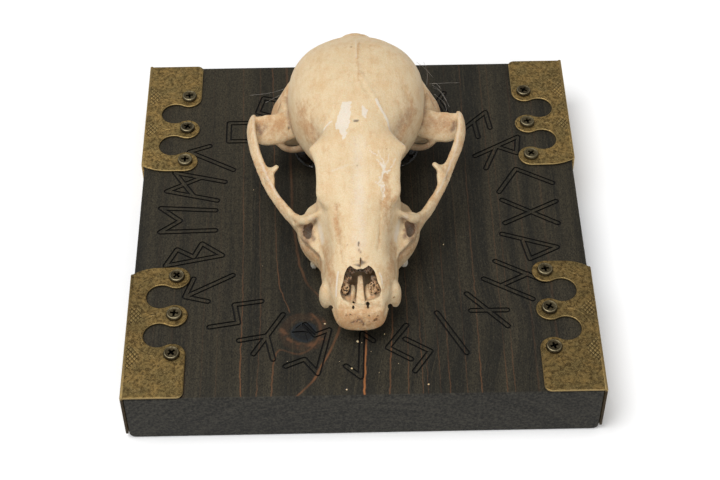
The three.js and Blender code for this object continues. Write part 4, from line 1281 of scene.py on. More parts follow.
@dataclass
class NoseBones:
    """What is seen in the nose opening: nets of thin bone, scrolls darkened with painted shade and the
    pale middle wall.

    Its rows are x, the height up the slanting opening, the depth behind it and a radius.
    """

    walls: tuple[tuple[tuple[float, float, float, float], ...], ...] = (
        ((-0.4, 9.0, 3.6, 0.36), (-0.55, 7.0, 2.7, 0.4), (-0.7, 4.4, 1.9, 0.5),
         (-0.9, 1.6, 1.2, 0.6), (-1.0, 0.2, 0.9, 0.7)),
        ((0.5, 9.0, 3.6, 0.36), (0.6, 7.0, 2.7, 0.4), (0.7, 4.4, 1.9, 0.5),
         (0.9, 1.6, 1.2, 0.6), (1.0, 0.2, 0.9, 0.7)),
        ((0.05, 9.2, 4.2, 0.6), (0.05, 6.0, 3.1, 0.8), (0.0, 3.4, 2.3, 1.0),
         (0.0, 0.9, 1.8, 1.2), (0.0, -0.4, 1.3, 1.3)),
        ((-2.4, 5.6, 5.4, 0.8), (-2.4, 4.0, 4.3, 1.3), (-2.9, 2.2, 3.3, 1.4), (-3.8, 1.1, 2.4, 1.15)),
        ((2.4, 5.8, 5.4, 0.8), (2.4, 4.2, 4.3, 1.3), (2.9, 2.2, 3.3, 1.4), (3.8, 1.1, 2.4, 1.15)),
        ((-4.3, 2.7, 3.0, 1.1), (-3.6, 1.9, 2.1, 0.9)),
        ((4.3, 3.0, 3.0, 1.1), (3.6, 2.1, 2.1, 0.9)),
        ((0.55, 13.0, 0.35, 0.42), (0.95, 12.7, 0.3, 0.42)))
    nets: tuple[tuple[float, ...], ...] = (
        (-4.5, 6.1, 2.2, 1.4, 2.5, 1.1, 116), (-3.7, 8.7, 2.7, 1.2, 1.2, 1.0, 44),
        (4.2, 5.6, 2.1, 1.8, 2.2, 1.1, 130), (4.0, 8.4, 2.8, 1.1, 1.1, 0.9, 36),
        (-2.6, 11.2, 2.9, 1.5, 1.5, 1.1, 64), (2.6, 11.1, 2.9, 1.5, 1.5, 1.1, 64),
        (0.0, 10.6, 4.6, 1.8, 1.0, 0.9, 30))
    gap: float = 0.55
    reach: float = 0.98
    strand: float = 0.145
    voxel: float = 0.16
    soft_voxel: float = 0.24
    seed: int = 7

    def _frame(self) -> Matrix:
        """What brings x, height and depth to the skull's frame.

        Returns:
            The matrix.
        """
        foot, _, rise, inward = Skull().nose_axes()
        turn = Matrix((Vector((1, 0, 0)), rise, inward)).transposed().to_4x4()
        return Matrix.Translation(foot) @ turn

    def _net(self, row: Sequence[float], rng: random.Random) -> list[bpy.types.Mesh]:
        """One cluster of strands that join near places.

        Args:
            row: The middle, the half sizes and the number of joints.
            rng: The source of chance.

        Returns:
            The strands.
        """
        middle, half, count = Vector(row[:3]), Vector(row[3:6]), int(row[6])
        joints: list[Vector] = []
        for _ in range(count * 40):
            if len(joints) >= count:
                break
            spot = Vector([rng.uniform(-1, 1) for _ in range(3)])
            place = middle + spot * half
            if spot.length < 1 and all((place - other).length > self.gap for other in joints):
                joints.append(place)
        strands = []
        for number, joint in enumerate(joints):
            others = sorted(joints[number + 1:], key=lambda other: (other - joint).length)
            strands += [rod([tuple(joint), tuple(other)], self.strand, 5)
                        for other in others[:3] if (other - joint).length < self.reach]
        return strands

    def make(self) -> None:
        """Builds the piece and publishes it."""
        rng = random.Random(self.seed)
        tables = [refined(wall, 4) for wall in self.walls]
        soft = merged([rod(rows[:, :3], rows[:, 3], 12) for rows in tables], self.soft_voxel)
        soft.relax(9)
        meshes = [soft.mesh]
        for row in self.nets:
            meshes += self._net(row, rng)
        clay = merged(meshes, self.voxel)
        clay.relax(2, 0.5, 0.4)
        x, height, depth = clay.points.T
        scroll = ramp(height, 8.6, 10.0)
        deep = ramp(depth, 1.5, 3.1)
        netted = ramp(np.abs(x - 0.1), 2.6, 3.1)
        inside = ramp(height, 3.0, 8.0) * 0.3
        # The stain and dark masks mix brown tone with painted shade that grows deeper in and up under
        # the roof.
        clay.store("warm", 0.35 + netted - scroll)
        clay.store("stain_and_shade", np.maximum(scroll, netted * deep) * 0.6 + 0.12 + inside)
        clay.store("dark", deep * np.maximum(scroll, netted))
        clay.store("scrape_and_highlight", (1 - netted) * (1 - scroll) * 0.2)
        clay.mesh.transform(self._frame())
        Piece("nose_bones", Slot.BONE, crease=70.0).publish(clay.mesh, BoneFinish().material(),
                                                            TO_SKULL)


# Board


def prism(outline: Rows, low: float, high: float) -> bpy.types.Mesh:
    """An upright body whose outline is seen from above."""
    return slab([(x, y, low) for x, y in outline], (0, 0, high - low))


def arc(x: float, y: float, radius: float, start: float, end: float,
        steps: int = 14) -> list[tuple[float, float]]:
    """The points of an arc from a start angle to an end angle, both ends among them."""
    angles = np.linspace(start, end, steps + 1)
    return [(x + radius * math.cos(a), y + radius * math.sin(a)) for a in angles]


def hole(x: float, y: float, radius: float) -> list[tuple[float, float]]:
    """The outline of a round hole."""
    return arc(x, y, radius, 0, 1.9 * math.pi, 15)


def capsule(start: Vector, end: Vector, half: float) -> list[tuple[float, float]]:
    """The outline of a straight stroke with round ends.

    Args:
        start: One end of its centre line.
        end: The other end.
        half: Its half width.

    Returns:
        The outline's corners.
    """
    run = end - start
    heading = math.atan2(run.y, run.x)
    right = heading - math.pi / 2
    left = heading + math.pi / 2
    tip = arc(end.x, end.y, half, right, left, 6)
    return tip + arc(start.x, start.y, half, left, left + math.pi, 6)


def rod(path: Rows, radius: float | Sequence[float], sides: int = 6) -> bpy.types.Mesh:
    """A round rod along a line.

    Args:
        path: The points that it follows.
        radius: Its radius, or one for each point.
        sides: The number of its sides.

    Returns:
        The closed mesh.
    """
    line = np.array(path, float)
    reach = np.broadcast_to(np.array(radius, float), (len(line),))
    cosines, sines = np.cos(turns(sides))[:, None], np.sin(turns(sides))[:, None]
    lean = Vector((0.05, 0.02, 1.0))
    rings = []
    for point, run, size in zip(line, np.gradient(line, axis=0), reach):
        across = Vector(run).cross(lean).normalized()
        up = across.cross(Vector(run).normalized())
        rings.append(point + size * (cosines * np.array(across) + sines * np.array(up)))
    return loft(rings)


@dataclass(frozen=True)
class StainedPine:
    """Pine stained nearly black, with growth lines that swing round a knot and painted light towards the
    top left.
    """

    name: str = "stained_pine"
    black: Colour = paint(36, 34, 26)
    brown: Colour = paint(70, 63, 47)
    rust: Colour = paint(110, 75, 50)
    orange: Colour = paint(170, 106, 57)
    knot_black: Colour = paint(17, 20, 24)
    knot_edge: Colour = paint(40, 47, 52)
    burnt: Colour = paint(9, 8, 8)
    end_black: Colour = paint(27, 26, 23)
    end_grey: Colour = paint(66, 63, 55)
    dust: Colour = paint(96, 92, 84)
    knot: tuple[float, float] = (-17.6, -46.2)
    knot_radius: float = 3.7
    growth_lines: tuple[tuple[float, float, tuple[tuple[float, float], ...]], ...] = (
        (0.50, 0.22, ((-70, -62.5), (70, -63))), (0.35, 0.26, ((-70, -57), (70, -57.4))),
        (0.50, 0.24, ((-70, -52.5), (70, -53.4))), (0.22, 0.36, ((-70, -47.6), (70, -48.6))),
        (0.20, 0.35, ((-70, -43.2), (-30, -43.4), (0, -43.9), (70, -44.4))),
        (0.20, 0.66, ((-70, -35.8), (-60, -36.3), (-35, -36.2), (0, -36.9), (70, -38.8))),
        (0.18, 0.42, ((-70, -31.3), (-40, -30.6), (-20, -31), (0, -31.8), (70, -33))),
        (0.20, 0.85, ((-38.5, -21.8), (-34, -23.4), (-28, -25.2), (-15, -26.2), (0, -26.8),
                      (40, -27.9), (70, -28.8))),
        (0.46, 0.66, ((-70, -19.9), (-67, -17), (-64, -14.6), (-59, -12.4), (-54, -10), (-49, -8),
                      (-44, -6.5), (-38, -8.5), (-32, -13.2), (-28, -16.4), (-20, -19),
                      (-10, -20.3), (0, -21.3), (20, -22), (70, -24))),
        (0.40, 1.00, ((-70, 0.1), (-60, 0.5), (-48, 1.1), (70, 0.6))),
        (0.24, 0.72, ((-70, 7.5), (-58, 8), (-44, 9.1), (70, 9.6))),
        (0.16, 0.46, ((-70, 13), (-46, 13.6), (70, 13.2))),
        (0.14, 0.45, ((-70, 17.3), (70, 16.8))), (0.12, 0.32, ((-70, 18.8), (70, 18.2))),
        (0.18, 0.32, ((-70, 22.4), (70, 22))), (0.18, 0.38, ((-70, 25.2), (70, 24.6))),
        (0.14, 0.32, ((-70, 30.2), (70, 30))), (0.20, 0.5, ((-70, 34.4), (0, 34.7), (70, 35.6))),
        (0.16, 0.40, ((-70, 41.8), (70, 42.4))), (0.16, 0.34, ((-70, 44.1), (70, 44.8))),
        (0.30, 0.24, ((-70, 51), (70, 51.6))), (0.40, 0.24, ((-70, 58), (70, 58.8))))
    swoosh: tuple[tuple[float, float, float], ...] = (
        (-15.0, -39.4, 0.3), (-12.7, -43.4, 0.5), (-13.0, -48.0, 0.4), (-15.4, -52.4, 0.3),
        (-18.8, -54.4, 0.4), (-22.0, -53.6, 0.3), (-24.8, -52.7, 0.26), (-26.4, -57.0, 0.24),
        (-27.0, -70.0, 0.22))

    @staticmethod
    def _line(bench: Bench, x: Signal, y: Signal,
              row: tuple[float, float, tuple[tuple[float, float], ...]]) -> Signal:
        """One growth line.

        Args:
            bench: The material.
            x: The place across the board.
            y: The place up the board.
            row: Its half width, its strength and its path, as places up and across.

        Returns:
            How much of the line shows.
        """
        half, strength, path = row
        side = 2 * HALF_SIDE
        stops = [(0.5 + along / side, (0.5 + across / side,) * 3 + (1.0,))
                 for along, across in path]
        middle = bench.node("ShaderNodeValToRGB", {"stops": stops}, {0: y / side + 0.5})
        away = abs(x - (middle - 0.5) * side)
        ends = y.rise(path[0][0] - 0.8, path[0][0] + 0.8)
        return away.rise(half * 1.5, half * 0.3) * ends * strength

    @staticmethod
    def _stretch_line(x: Signal, y: Signal, start: Sequence[float],
                      end: Sequence[float]) -> Signal:
        """A straight stretch of the line that passes under the knot.

        Args:
            x: The place across the board.
            y: The place up the board.
            start: The first end's place and half width.
            end: The other end's.

        Returns:
            How much of the stretch shows.
        """
        run = Vector((end[0] - start[0], end[1] - start[1]))
        share = ((x - start[0]) * run.x + (y - start[1]) * run.y) / run.length_squared
        share = share.most(0.0).least(1.0)
        gap = ((x - start[0] - share * run.x) ** 2.0
               + (y - start[1] - share * run.y) ** 2.0) ** 0.5
        half = start[2] + share * (end[2] - start[2])
        return (gap / half).rise(1.6, 0.4)

    def material(self) -> bpy.types.Material:
        """Wires up the finish.

        Returns:
            The material.
        """
        bench = Bench(self.name)
        x, y, z = bench.split(bench.place())
        waves = (bench.clouds(bench.join(x * 0.3, y * 0.35, 0.0), 9.0, 1.0) - 0.5) * 1.6
        flow = x + waves + bench.bell(y - self.knot[1], 15.0) * (x + 17.0).rise(0.0, 6.0) * -4.0
        wide = bench.clouds(bench.join(flow, y * 0.03, z * 0.2), 5.0, 3.0)
        fine = bench.clouds(bench.join(flow, y * 0.02, z * 0.3), 0.55, 3.0, 0.6)
        fibres = bench.clouds(bench.join(x, y * 0.06, z), 0.22, 2.0, 0.6)
        specks = bench.clouds(bench.join(x, y * 0.5, z), 0.3, 3.0, 0.75)
        # Painted light: the board is lightened towards the top left, where the light glances across it.
        glancing_light = y.rise(-20.0, 66.0) * x.rise(40.0, -64.0)
        colour = bench.coats(self.black, (wide.rise(0.35, 0.7) * 0.7, self.brown),
                             (fine.rise(0.48, 0.72) * 0.65, self.brown),
                             (fibres.rise(0.52, 0.7) * 0.4, self.brown),
                             (glancing_light * 0.4, self.brown), (specks.rise(0.58, 0.34) * 0.8, self.burnt))

        wavy = x + (bench.clouds(bench.join(x, y, 0.0), 3.0, 3.0) - 0.5) * 0.9
        breaks = bench.clouds(bench.join(x * 0.4, y * 0.12, 0.0), 2.0, 3.0).rise(0.3, 0.6)
        bright = functools.reduce(
            Signal.most, [self._line(bench, wavy, y, row) for row in self.growth_lines])
        bright = bright ** 1.3 * (0.3 + breaks * 0.7) * (0.66 + y.rise(20.0, -62.0) * 0.34)
        bright = bright * (0.3 + x.rise(-43.0, -35.0) * 0.7)
        bends = refined(self.swoosh, 2)
        for start, end in zip(bends, bends[1:]):
            stretch = self._stretch_line(wavy, y, start, end)
            bright = bright.most(stretch * (0.08 + breaks * 0.32))
        glow = y.rise(-42.0, -66.0) * (0.3 + bright.rise(0.4, 0.8) * 0.7)
        warmth = bench.coats(self.rust, (glow, self.orange))

        away = ((x - self.knot[0]) ** 2.0 + (y - self.knot[1]) ** 2.0) ** 0.5
        away = away + (bench.clouds(bench.join(x, y, 0.0), 5.0, 2.0) - 0.5) * 2.4
        halo = away.rise(self.knot_radius + 4.4, self.knot_radius + 2.8)
        halo = halo * away.rise(self.knot_radius, self.knot_radius + 1.6)
        patches = bench.clouds(bench.join(x, y, 0.0), 4.0, 2.0).rise(0.5, 0.68)
        rings = bench.clouds(bench.join(away, 0.0, 0.0), 0.7, 1.0).rise(0.3, 0.7)
        heart = bench.coats(self.knot_black, (rings * 0.5, self.black))
        within = away.rise(self.knot_radius + 0.3, self.knot_radius - 0.3)
        rim = bench.bell(away - self.knot_radius + 0.3, 0.5)

        ring = (x * x + (z + 55.0) ** 2.0) ** 0.5
        arcs = bench.clouds(bench.join(ring, x * 0.03, y * 0.1), 1.1, 3.0)
        ends = bench.clouds(bench.join(x, y * 0.3, z), 0.8, 4.0, 0.7) * 0.75 + arcs * 0.25
        end_grain = bench.coats(self.end_black, (ends.rise(0.38, 0.66), self.end_grey))
        inside = abs(x).rise(69.2, 68.9) * abs(y).rise(69.2, 68.9)
        sunk = z.rise(BOARD_FACE - 0.02, BOARD_FACE - 0.12) * z.rise(15.0, 16.0) * inside
        colour = bench.coats(colour, (bright, warmth), (halo * (0.12 + patches * 0.6), self.rust),
                             (within, heart), (rim * 0.45, self.knot_edge),
                             (abs(y).rise(69.3, 69.8), end_grain),
                             (specks.rise(0.6, 0.76) * 0.6, self.dust), (sunk * 0.92, self.burnt))
        height = fine * 0.5 + fibres * 0.35 + specks * 0.25
        return bench.finish(Base_Color=colour, Roughness=0.55 + fibres * 0.22,
                            Specular_IOR_Level=0.2,
                            Normal=bench.relief(height, 0.14, 0.8))


@dataclass
class Board:
    """The stained board with its ring of carved letters and the recess in its back."""

    edge_easing: float = 0.6
    low_easing: float = 2.0
    carved_depth: float = 0.45
    stroke_half: float = 1.0
    island_half: float = 0.46
    screw_hole: float = 1.3
    screw_hole_depth: float = 12.8
    nail_hole: float = 1.0
    nail_hole_depth: float = 9.3
    nail_places: tuple[tuple[float, float], ...] = ((-18.5, 52.0), (18.5, 52.0))
    seat: tuple[float, float, float] = (45.0, 15.0, 1.2)
    recess: tuple[float, float, float] = (30.0, 15.0, 5.0)
    recess_y: float = 50.0
    knot_cracks: tuple[tuple[float, ...], ...] = (
        (-20.9, -46.1, -17.6, -45.9, 0.24), (-17.6, -45.9, -14.6, -46.8, 0.18),
        (-17.9, -42.9, -14.3, -47.2, 0.3), (-19.9, -44.6, -18.6, -43.3, 0.14),
        (-17.2, -46.2, -16.4, -49.6, 0.07))
    letters: tuple[tuple[tuple[tuple[float, float], ...], ...], ...] = (
        (((-2, 46), (-2, 63)), ((-2, 54), (5, 61)), ((-2, 49), (5, 56))),
        (((-3.5, 46), (-3.5, 63), (3.5, 58), (3.5, 46)),),
        (((-2, 46), (-2, 63)), ((-2, 58.5), (3.5, 54.5), (-2, 50.5))),
        (((-2, 46), (-2, 63), (4, 58.5)), ((-2, 57), (4, 52.5))),
        (((-3, 46), (-3, 63), (3, 58.5), (-3, 54.5), (3.5, 46)),),
        (((2.6, 46), (-5.5, 54.6), (3.7, 63.9)),),
        (((-5.9, 45.8), (4.4, 62.7)), ((4, 46), (-5, 63))),
        (((-3.3, 45.4), (-2, 63.1), (4.8, 55.7), (-2, 52.3)),),
        (((-3.8, 46), (-3.8, 62.6)), ((4.3, 46), (4.3, 62.6)), ((-4, 57), (4, 52))),
        (((0.3, 45.7), (1.1, 62.9)), ((4.3, 51), (-3.4, 58.7))),
        (((0.3, 45.7), (0.9, 63)),),
        (((0.5, 51.1), (-5.3, 57.5), (1.2, 63.2)), ((-1.3, 46.2), (6.4, 52.7), (1.1, 58.7))),
        (((-3.2, 49.9), (0.1, 46.9), (0.8, 63.2), (5.1, 59.1)),),
        (((5.4, 46.3), (1.5, 49.5), (-2.2, 46.5), (-3, 63), (2.2, 58.9), (6.9, 62.7)),),
        (((1, 46), (1.1, 63)), ((-5, 61.9), (1.1, 55.3), (7.5, 60.8))),
        (((-2.5, 45.6), (2.4, 52.2), (-3.4, 56.2), (1.6, 63.3)),),
        (((-0.6, 46), (-0.6, 62.5)), ((-5.8, 57.4), (-0.6, 62.5), (4.4, 57))),
        (((-2.9, 63.4), (2.6, 58.6), (-1.9, 54.3), (2.8, 50.6), (-3.7, 45.6), (-2.9, 63.4)),),
        (((3.6, 45.9), (4.9, 63.4), (-0.6, 57), (-5.3, 63.1), (-4.9, 45.6)),),
        (((-4.2, 46), (-4.2, 63), (4.2, 54)), ((4.2, 46), (4.2, 63), (-4.2, 54))),
        (((-2, 46), (-2, 63), (3.5, 58.5)),),
        (((0, 48.5), (6, 54.5), (0, 60.5), (-6, 54.5), (0, 48.5)),),
        (((-4, 46), (5, 58), (0, 63), (-5, 58), (4, 46)),),
        (((-4.5, 46), (-4.5, 63), (4.5, 46), (4.5, 63), (-4.5, 46)),))

    def _blank(self) -> bpy.types.Mesh:
        """The board before it is carved, with eased edges.

        Returns:
            The closed mesh.
        """
        middle = (BOARD_LOW + BOARD_HIGH) / 2
        size = BOARD_HIGH - BOARD_LOW
        place = Matrix.Translation(middle) @ Matrix.Diagonal((*size, 1))

        def build(work: bmesh.types.BMesh) -> None:
            """Makes a block and rounds its edges.

            Args:
                work: The bmesh.
            """
            bmesh.ops.create_cube(work, size=1.0, matrix=place)
            under = [edge for edge in work.edges
                     if all(vert.co.z < BOARD_LOW.z + 0.1 for vert in edge.verts)
                     and abs(edge.verts[0].co.y - edge.verts[1].co.y) > 1.0]
            bmesh.ops.bevel(work, geom=under, offset=self.low_easing, segments=5,
                            profile=0.5, affect="EDGES", material=-1)
            bevelled(work, self.edge_easing, 3)
        return shape(build)

    def _groove(self, number: int) -> bpy.types.Mesh:
        """The cutter of one letter: a narrow channel round its strokes.

        Args:
            number: The letter's place in the ring, from 0 at the top and clockwise.

        Returns:
            The cutter.
        """
        angle = 2 * math.pi * number / len(self.letters)
        outward = Vector((math.sin(angle), math.cos(angle)))
        clockwise = Vector((math.cos(angle), -math.sin(angle)))
        spans = []
        for stroke in self.letters[number]:
            corners = [clockwise * t + outward * r for t, r in stroke]
            spans += list(zip(corners, corners[1:]))
        skins = []
        for half, low, high in ((self.stroke_half, self.carved_depth, 1.0),
                                (self.island_half, 2.0, 2.0)):
            first, *rest = [prism(capsule(a, b, half), BOARD_FACE - low, BOARD_FACE + high)
                            for a, b in spans]
            skins.append(carved(first, *rest, operation="UNION"))
        return carved(*skins)

    def _back_tools(self) -> list[bpy.types.Mesh]:
        """The recess, the hanger's seat and the nail holes.

        Returns:
            The cutters.
        """
        tools = []
        for length, height, depth in (self.seat, self.recess):
            corners = [(sx * length / 2, self.recess_y + sy * height / 2)
                       for sx, sy in ((-1, -1), (1, -1), (1, 1), (-1, 1))]
            tools.append(prism(corners, -1.0, depth))
        tools += [prism(hole(*place, self.nail_hole), -1.0, self.nail_hole_depth)
                  for place in self.nail_places]
        return tools

    def make(self) -> None:
        """Builds the board and publishes it."""
        holes = [prism(hole(*place, self.screw_hole), BOARD_FACE - self.screw_hole_depth,
                       BOARD_FACE + 1.0) for corner in CORNERS for place in corner.screw_places()]
        cracks = [prism(capsule(Vector((ax, ay)), Vector((bx, by)), half), BOARD_FACE - 0.5,
                        BOARD_FACE + 1.0) for ax, ay, bx, by, half in self.knot_cracks]
        mesh = carved(self._blank(), *self._back_tools(), joined(holes))
        for number in range(len(self.letters)):
            mesh = carved(mesh, self._groove(number))
        mesh = carved(mesh, *cracks)
        Piece("pine_board", Slot.WOOD, ("board",), crease=40.0).publish(
            mesh, StainedPine().material())


# Corner plates and screws


@dataclass(frozen=True)
class AntiqueBrass:
    """Antiqued brass: worn rims painted brighter as highlights, an olive film, brown spots in the
    hollows and painted shade towards the board's front.
    """

    name: str = "antique_brass"
    bright: Colour = paint(206, 180, 126)
    olive: Colour = paint(158, 137, 88)
    gold: Colour = paint(188, 156, 96)
    brown: Colour = paint(86, 69, 42)
    dark: Colour = paint(50, 40, 27)

    def material(self) -> bpy.types.Material:
        """Wires up the finish.

        Returns:
            The material.
        """
        bench = Bench(self.name)
        place = bench.place()
        x, y, z = bench.split(place)
        clouds = bench.clouds(place, 5.0, 4.0, 0.6)
        mottle = bench.clouds(place, 1.1, 4.0, 0.65, 0.6)
        specks = bench.clouds(place, 0.4, 3.0, 0.6)
        rising = bench.clouds(bench.join(x + y * 0.6, (y - x * 0.6) * 0.14, z), 0.34, 3.0, 0.7)
        falling = bench.clouds(bench.join(x - y * 0.9, (y + x * 0.9) * 0.14, z), 0.34, 3.0, 0.7)
        wear_and_sheen = bench.mask("wear_and_sheen")
        worn_and_lit = wear_and_sheen + (mottle - 0.5) * 0.6
        cut_end = abs(y).rise(69.8, 69.92) * z.rise(19.4, 18.8)
        # The wear mask is rubbing on rims and knurl tops painted brighter as highlight; the y term is
        # painted shade darkening the plates towards the board's front.
        colour = bench.coats(self.olive, (clouds.rise(0.35, 0.65), self.gold),
                             (mottle.rise(0.38, 0.66) * 0.85, self.brown),
                             (rising.most(falling).rise(0.6, 0.72) * 0.5, self.brown),
                             (rising.least(falling).rise(0.42, 0.32) * 0.75, self.bright),
                             (specks.rise(0.54, 0.7) * 0.75, self.dark),
                             (worn_and_lit.rise(0.4, 0.95) * 0.9, self.bright),
                             (bench.mask("darkening").rise(0.1, 0.9) * 0.8, self.dark),
                             (y.rise(40.0, -40.0) * 0.3, self.dark), (cut_end * 0.9, self.dark))
        rough = 0.46 + mottle * 0.26 - wear_and_sheen * 0.06
        height = mottle * 0.6 + specks * 0.4
        return bench.finish(Base_Color=colour, Metallic=1.0, Roughness=rough,
                            Normal=bench.relief(height, 0.05, 0.8))


@dataclass(frozen=True)
class Corner:
    """One corner of the board, its plate and its screws."""

    word: str
    sx: int
    sy: int
    plate_gap: float = 0.1
    lobe_x: float = 13.4
    lobes_y: tuple[float, ...] = (15.6, 30.45, 45.3)

    def place(self) -> Matrix:
        """What brings a plate, drawn from the board's corner, to this corner.

        Returns:
            The matrix.
        """
        shift = Matrix.Translation((self.sx * (HALF_SIDE + self.plate_gap),
                                    self.sy * HALF_SIDE, 0))
        return shift @ Matrix.Diagonal((-self.sx, -self.sy, 1, 1))

    def screw_places(self) -> list[tuple[float, float]]:
        """The places of its screws on the board's face."""
        x = HALF_SIDE - self.lobe_x
        return [(self.sx * x, self.sy * (HALF_SIDE - y)) for y in self.lobes_y]


CORNERS = (Corner("bottom_left", -1, -1), Corner("bottom_right", 1, -1),
           Corner("top_left", -1, 1), Corner("top_right", 1, 1))


@dataclass
class CornerPlate:
    """A brass corner plate, drawn from the board's corner: x inwards and y along the side."""

    thickness: float = 1.0
    underside: float = 19.1
    width: float = 17.55
    length: float = 49.4
    side_length: float = 46.7
    corner_radius: float = 2.0
    sweep_start: float = 8.0
    sweep_bend: float = 3.0
    lobe_radius: float = 4.15
    bay_x: float = 9.0
    flange: float = 0.8
    flange_low: float = 2.0
    bend_radius: float = 0.4
    bend_lap: float = 0.2
    edge_easing: float = 0.14
    rim: float = 0.34
    grid_step: float = 0.15
    field_drop: float = 0.07
    hole_radius: float = 1.3
    ring_radius: float = 7.7
    ring_relief: float = 0.045
    knurl_pitch: tuple[float, float] = (1.34, 1.7)
    knurl_relief: float = 0.16
    knurl_reach: tuple[float, float] = (-0.2, 3.9)
    knurl_spans: tuple[tuple[float, float], ...] = ((14.8, 5.2), (30.6, 3.8))
    cutter_top: float = 40.0

    def bays(self) -> list[Vector]:
        """The middles of the round bays."""
        lobes = CORNERS[0].lobes_y
        return [Vector((self.bay_x, (a + b) / 2)) for a, b in zip(lobes, lobes[1:])]

    def outline(self, inset: float = 0.0) -> list[tuple[float, float]]:
        """The edge from the flange at the near end round to the flange at the far end.

        Args:
            inset: How far inside the true edge it runs.

        Returns:
            The points.
        """
        flange = -self.flange + inset
        turn = self.corner_radius - inset
        points = [(flange, inset)]
        points += arc(self.width - self.corner_radius, self.corner_radius, turn,
                      -math.pi / 2, 0, 6)
        start = 0.0
        lobes = [Vector((CORNERS[0].lobe_x, y)) for y in CORNERS[0].lobes_y]
        for lobe, bay in zip(lobes, self.bays()):
            down = lobe - bay
            angle = math.atan2(down.y, down.x)
            bay_radius = down.length - self.lobe_radius
            points += arc(lobe.x, lobe.y, self.lobe_radius - inset, start, angle + math.pi)
            points += arc(bay.x, bay.y, bay_radius + inset, angle, -angle - 2 * math.pi, 26)[1:-1]
            start = -math.pi - angle
        end = lobes[-1]
        points += arc(end.x, end.y, self.lobe_radius - inset, start, math.pi / 2)
        top = Vector((self.sweep_start, self.length - inset))
        bend = Vector((self.sweep_bend, self.length - inset))
        foot = Vector((flange, self.side_length - inset))
        for t in np.linspace(0, 1, 8):
            point = top * (1 - t) ** 2 + bend * 2 * t * (1 - t) + foot * t ** 2
            points.append((point.x, point.y))
        return points

    def _relief(self, x: Points, y: Points) -> Points:
        """How far the stamped pattern stands above the plain field.

        Args:
            x: The places inwards from the side.
            y: The places along the side.

        Returns:
            The heights.
        """
        height = np.zeros_like(x)
        for bay in self.bays():
            away = np.hypot(x - bay.x, y - bay.y)
            ring = hump(away - self.ring_radius, 0.22)
            ditch = hump(away - self.ring_radius + 0.5, 0.2)
            height += self.ring_relief * (ring - 0.7 * ditch) * (x < self.bay_x - 1)
        clear = np.min([np.hypot(x - bay.x, y - bay.y) for bay in self.bays()], axis=0)
        clear = ramp(clear, self.ring_radius - 0.7, self.ring_radius - 0.3)
        across, along = x / self.knurl_pitch[0], y / self.knurl_pitch[1]
        ditches = np.minimum(np.abs(np.sin(np.pi * (across + along))),
                             np.abs(np.sin(np.pi * (across - along))))
        diamonds = 0.4 - ramp(ditches, 0.504, 0.084)
        low, high = self.knurl_reach
        patch = np.zeros_like(x)
        for middle, half in self.knurl_spans:
            share = np.abs(y - middle) / half
            inner = low + (high - low) * np.clip(1 - share ** 2, 0, 1)
            patch = np.maximum(patch, ramp(inner - x, 0, 0.4) * (share < 1))
        patch *= ramp(x, low, low + 0.3) * clear
        return height + self.knurl_relief * diamonds * patch

    def _field(self) -> bpy.types.Mesh:
        """The slab with the stamped pattern on its top.

        Returns:
            The closed mesh.
        """
        top = self.underside + self.thickness - self.field_drop
        span = Vector((self.width + 0.4, self.length + 0.4))
        steps = [round(side / self.grid_step) for side in span]
        place = Matrix.Translation((span.x / 2 - 0.2, span.y / 2 - 0.2, top))

        def build(work: bmesh.types.BMesh) -> None:
            """Makes a grid, stamps it and closes it below.

            Args:
                work: The bmesh.
            """
            bmesh.ops.create_grid(work, x_segments=steps[0], y_segments=steps[1], size=0.5,
                                  matrix=place @ Matrix.Diagonal((span.x, span.y, 1, 1)))
            spots = np.array([vert.co for vert in work.verts])
            for vert, rise in zip(work.verts, self._relief(spots[:, 0], spots[:, 1])):
                vert.co.z += rise
            rim = [edge for edge in work.edges if edge.is_boundary]
            grown = bmesh.ops.extrude_edge_only(work, edges=rim)["geom"]
            for vert in (item for item in grown if isinstance(item, bmesh.types.BMVert)):
                vert.co.z = self.underside
        return shape(build)

    def _bend(self) -> bpy.types.Mesh:
        """The flange with the rounded bend at its top.

        Returns:
            The closed mesh.
        """
        top = self.underside + self.thickness
        radius = self.bend_radius
        section = [(self.flange_low, -self.flange)]
        section += [(top - radius + b, -self.flange + radius - a)
                    for a, b in arc(0, 0, radius, 0, math.pi / 2, 6)]
        section += [(top, self.bend_lap), (self.underside, self.bend_lap), (self.underside, 0.0),
                    (self.flange_low, 0.0)]
        body = prism([(-x, z) for z, x in section], 0.0, self.side_length)

        def soften(work: bmesh.types.BMesh) -> None:
            """Takes the sharpness off the cut edges.

            Args:
                work: The bmesh.
            """
            work.from_mesh(body)
            upright = Matrix.Diagonal((-1, -1, 1, 1)) @ Matrix.Rotation(math.pi / 2, 4, "X")
            bmesh.ops.transform(work, matrix=upright, verts=work.verts[:])
            bevelled(work, self.edge_easing, 2)
        return shape(soften)

    def build(self) -> bpy.types.Mesh:
        """The plate in its corner's own frame.

        Returns:
            The closed mesh.
        """
        middle = self.underside + self.thickness / 2
        bead = [(x, y, middle) for x, y in self.outline(self.rim)]
        within = prism(self.outline(self.rim), 0, self.cutter_top)
        sheet = carved(self._field(), within, operation="INTERSECT")
        holes = [prism(hole(CORNERS[0].lobe_x, y, self.hole_radius), 0, self.cutter_top)
                 for y in CORNERS[0].lobes_y]
        whole = carved(sheet, rod(bead, self.rim, 12), self._bend(), operation="UNION")
        return carved(whole, *holes)

    def dress(self, clay: Clay) -> None:
        """Stores where the plate is worn bright, partly as painted highlight on its rims and bend, and
        where dirt has gathered.

        Args:
            clay: The plate, in its corner's own frame.
        """
        edge = way_off(clay.points[:, :2], self.outline())
        x, y, z = clay.points.T
        bend = ramp(np.abs(x + 0.7), 0.25, 0)
        high = z > self.underside + 0.3
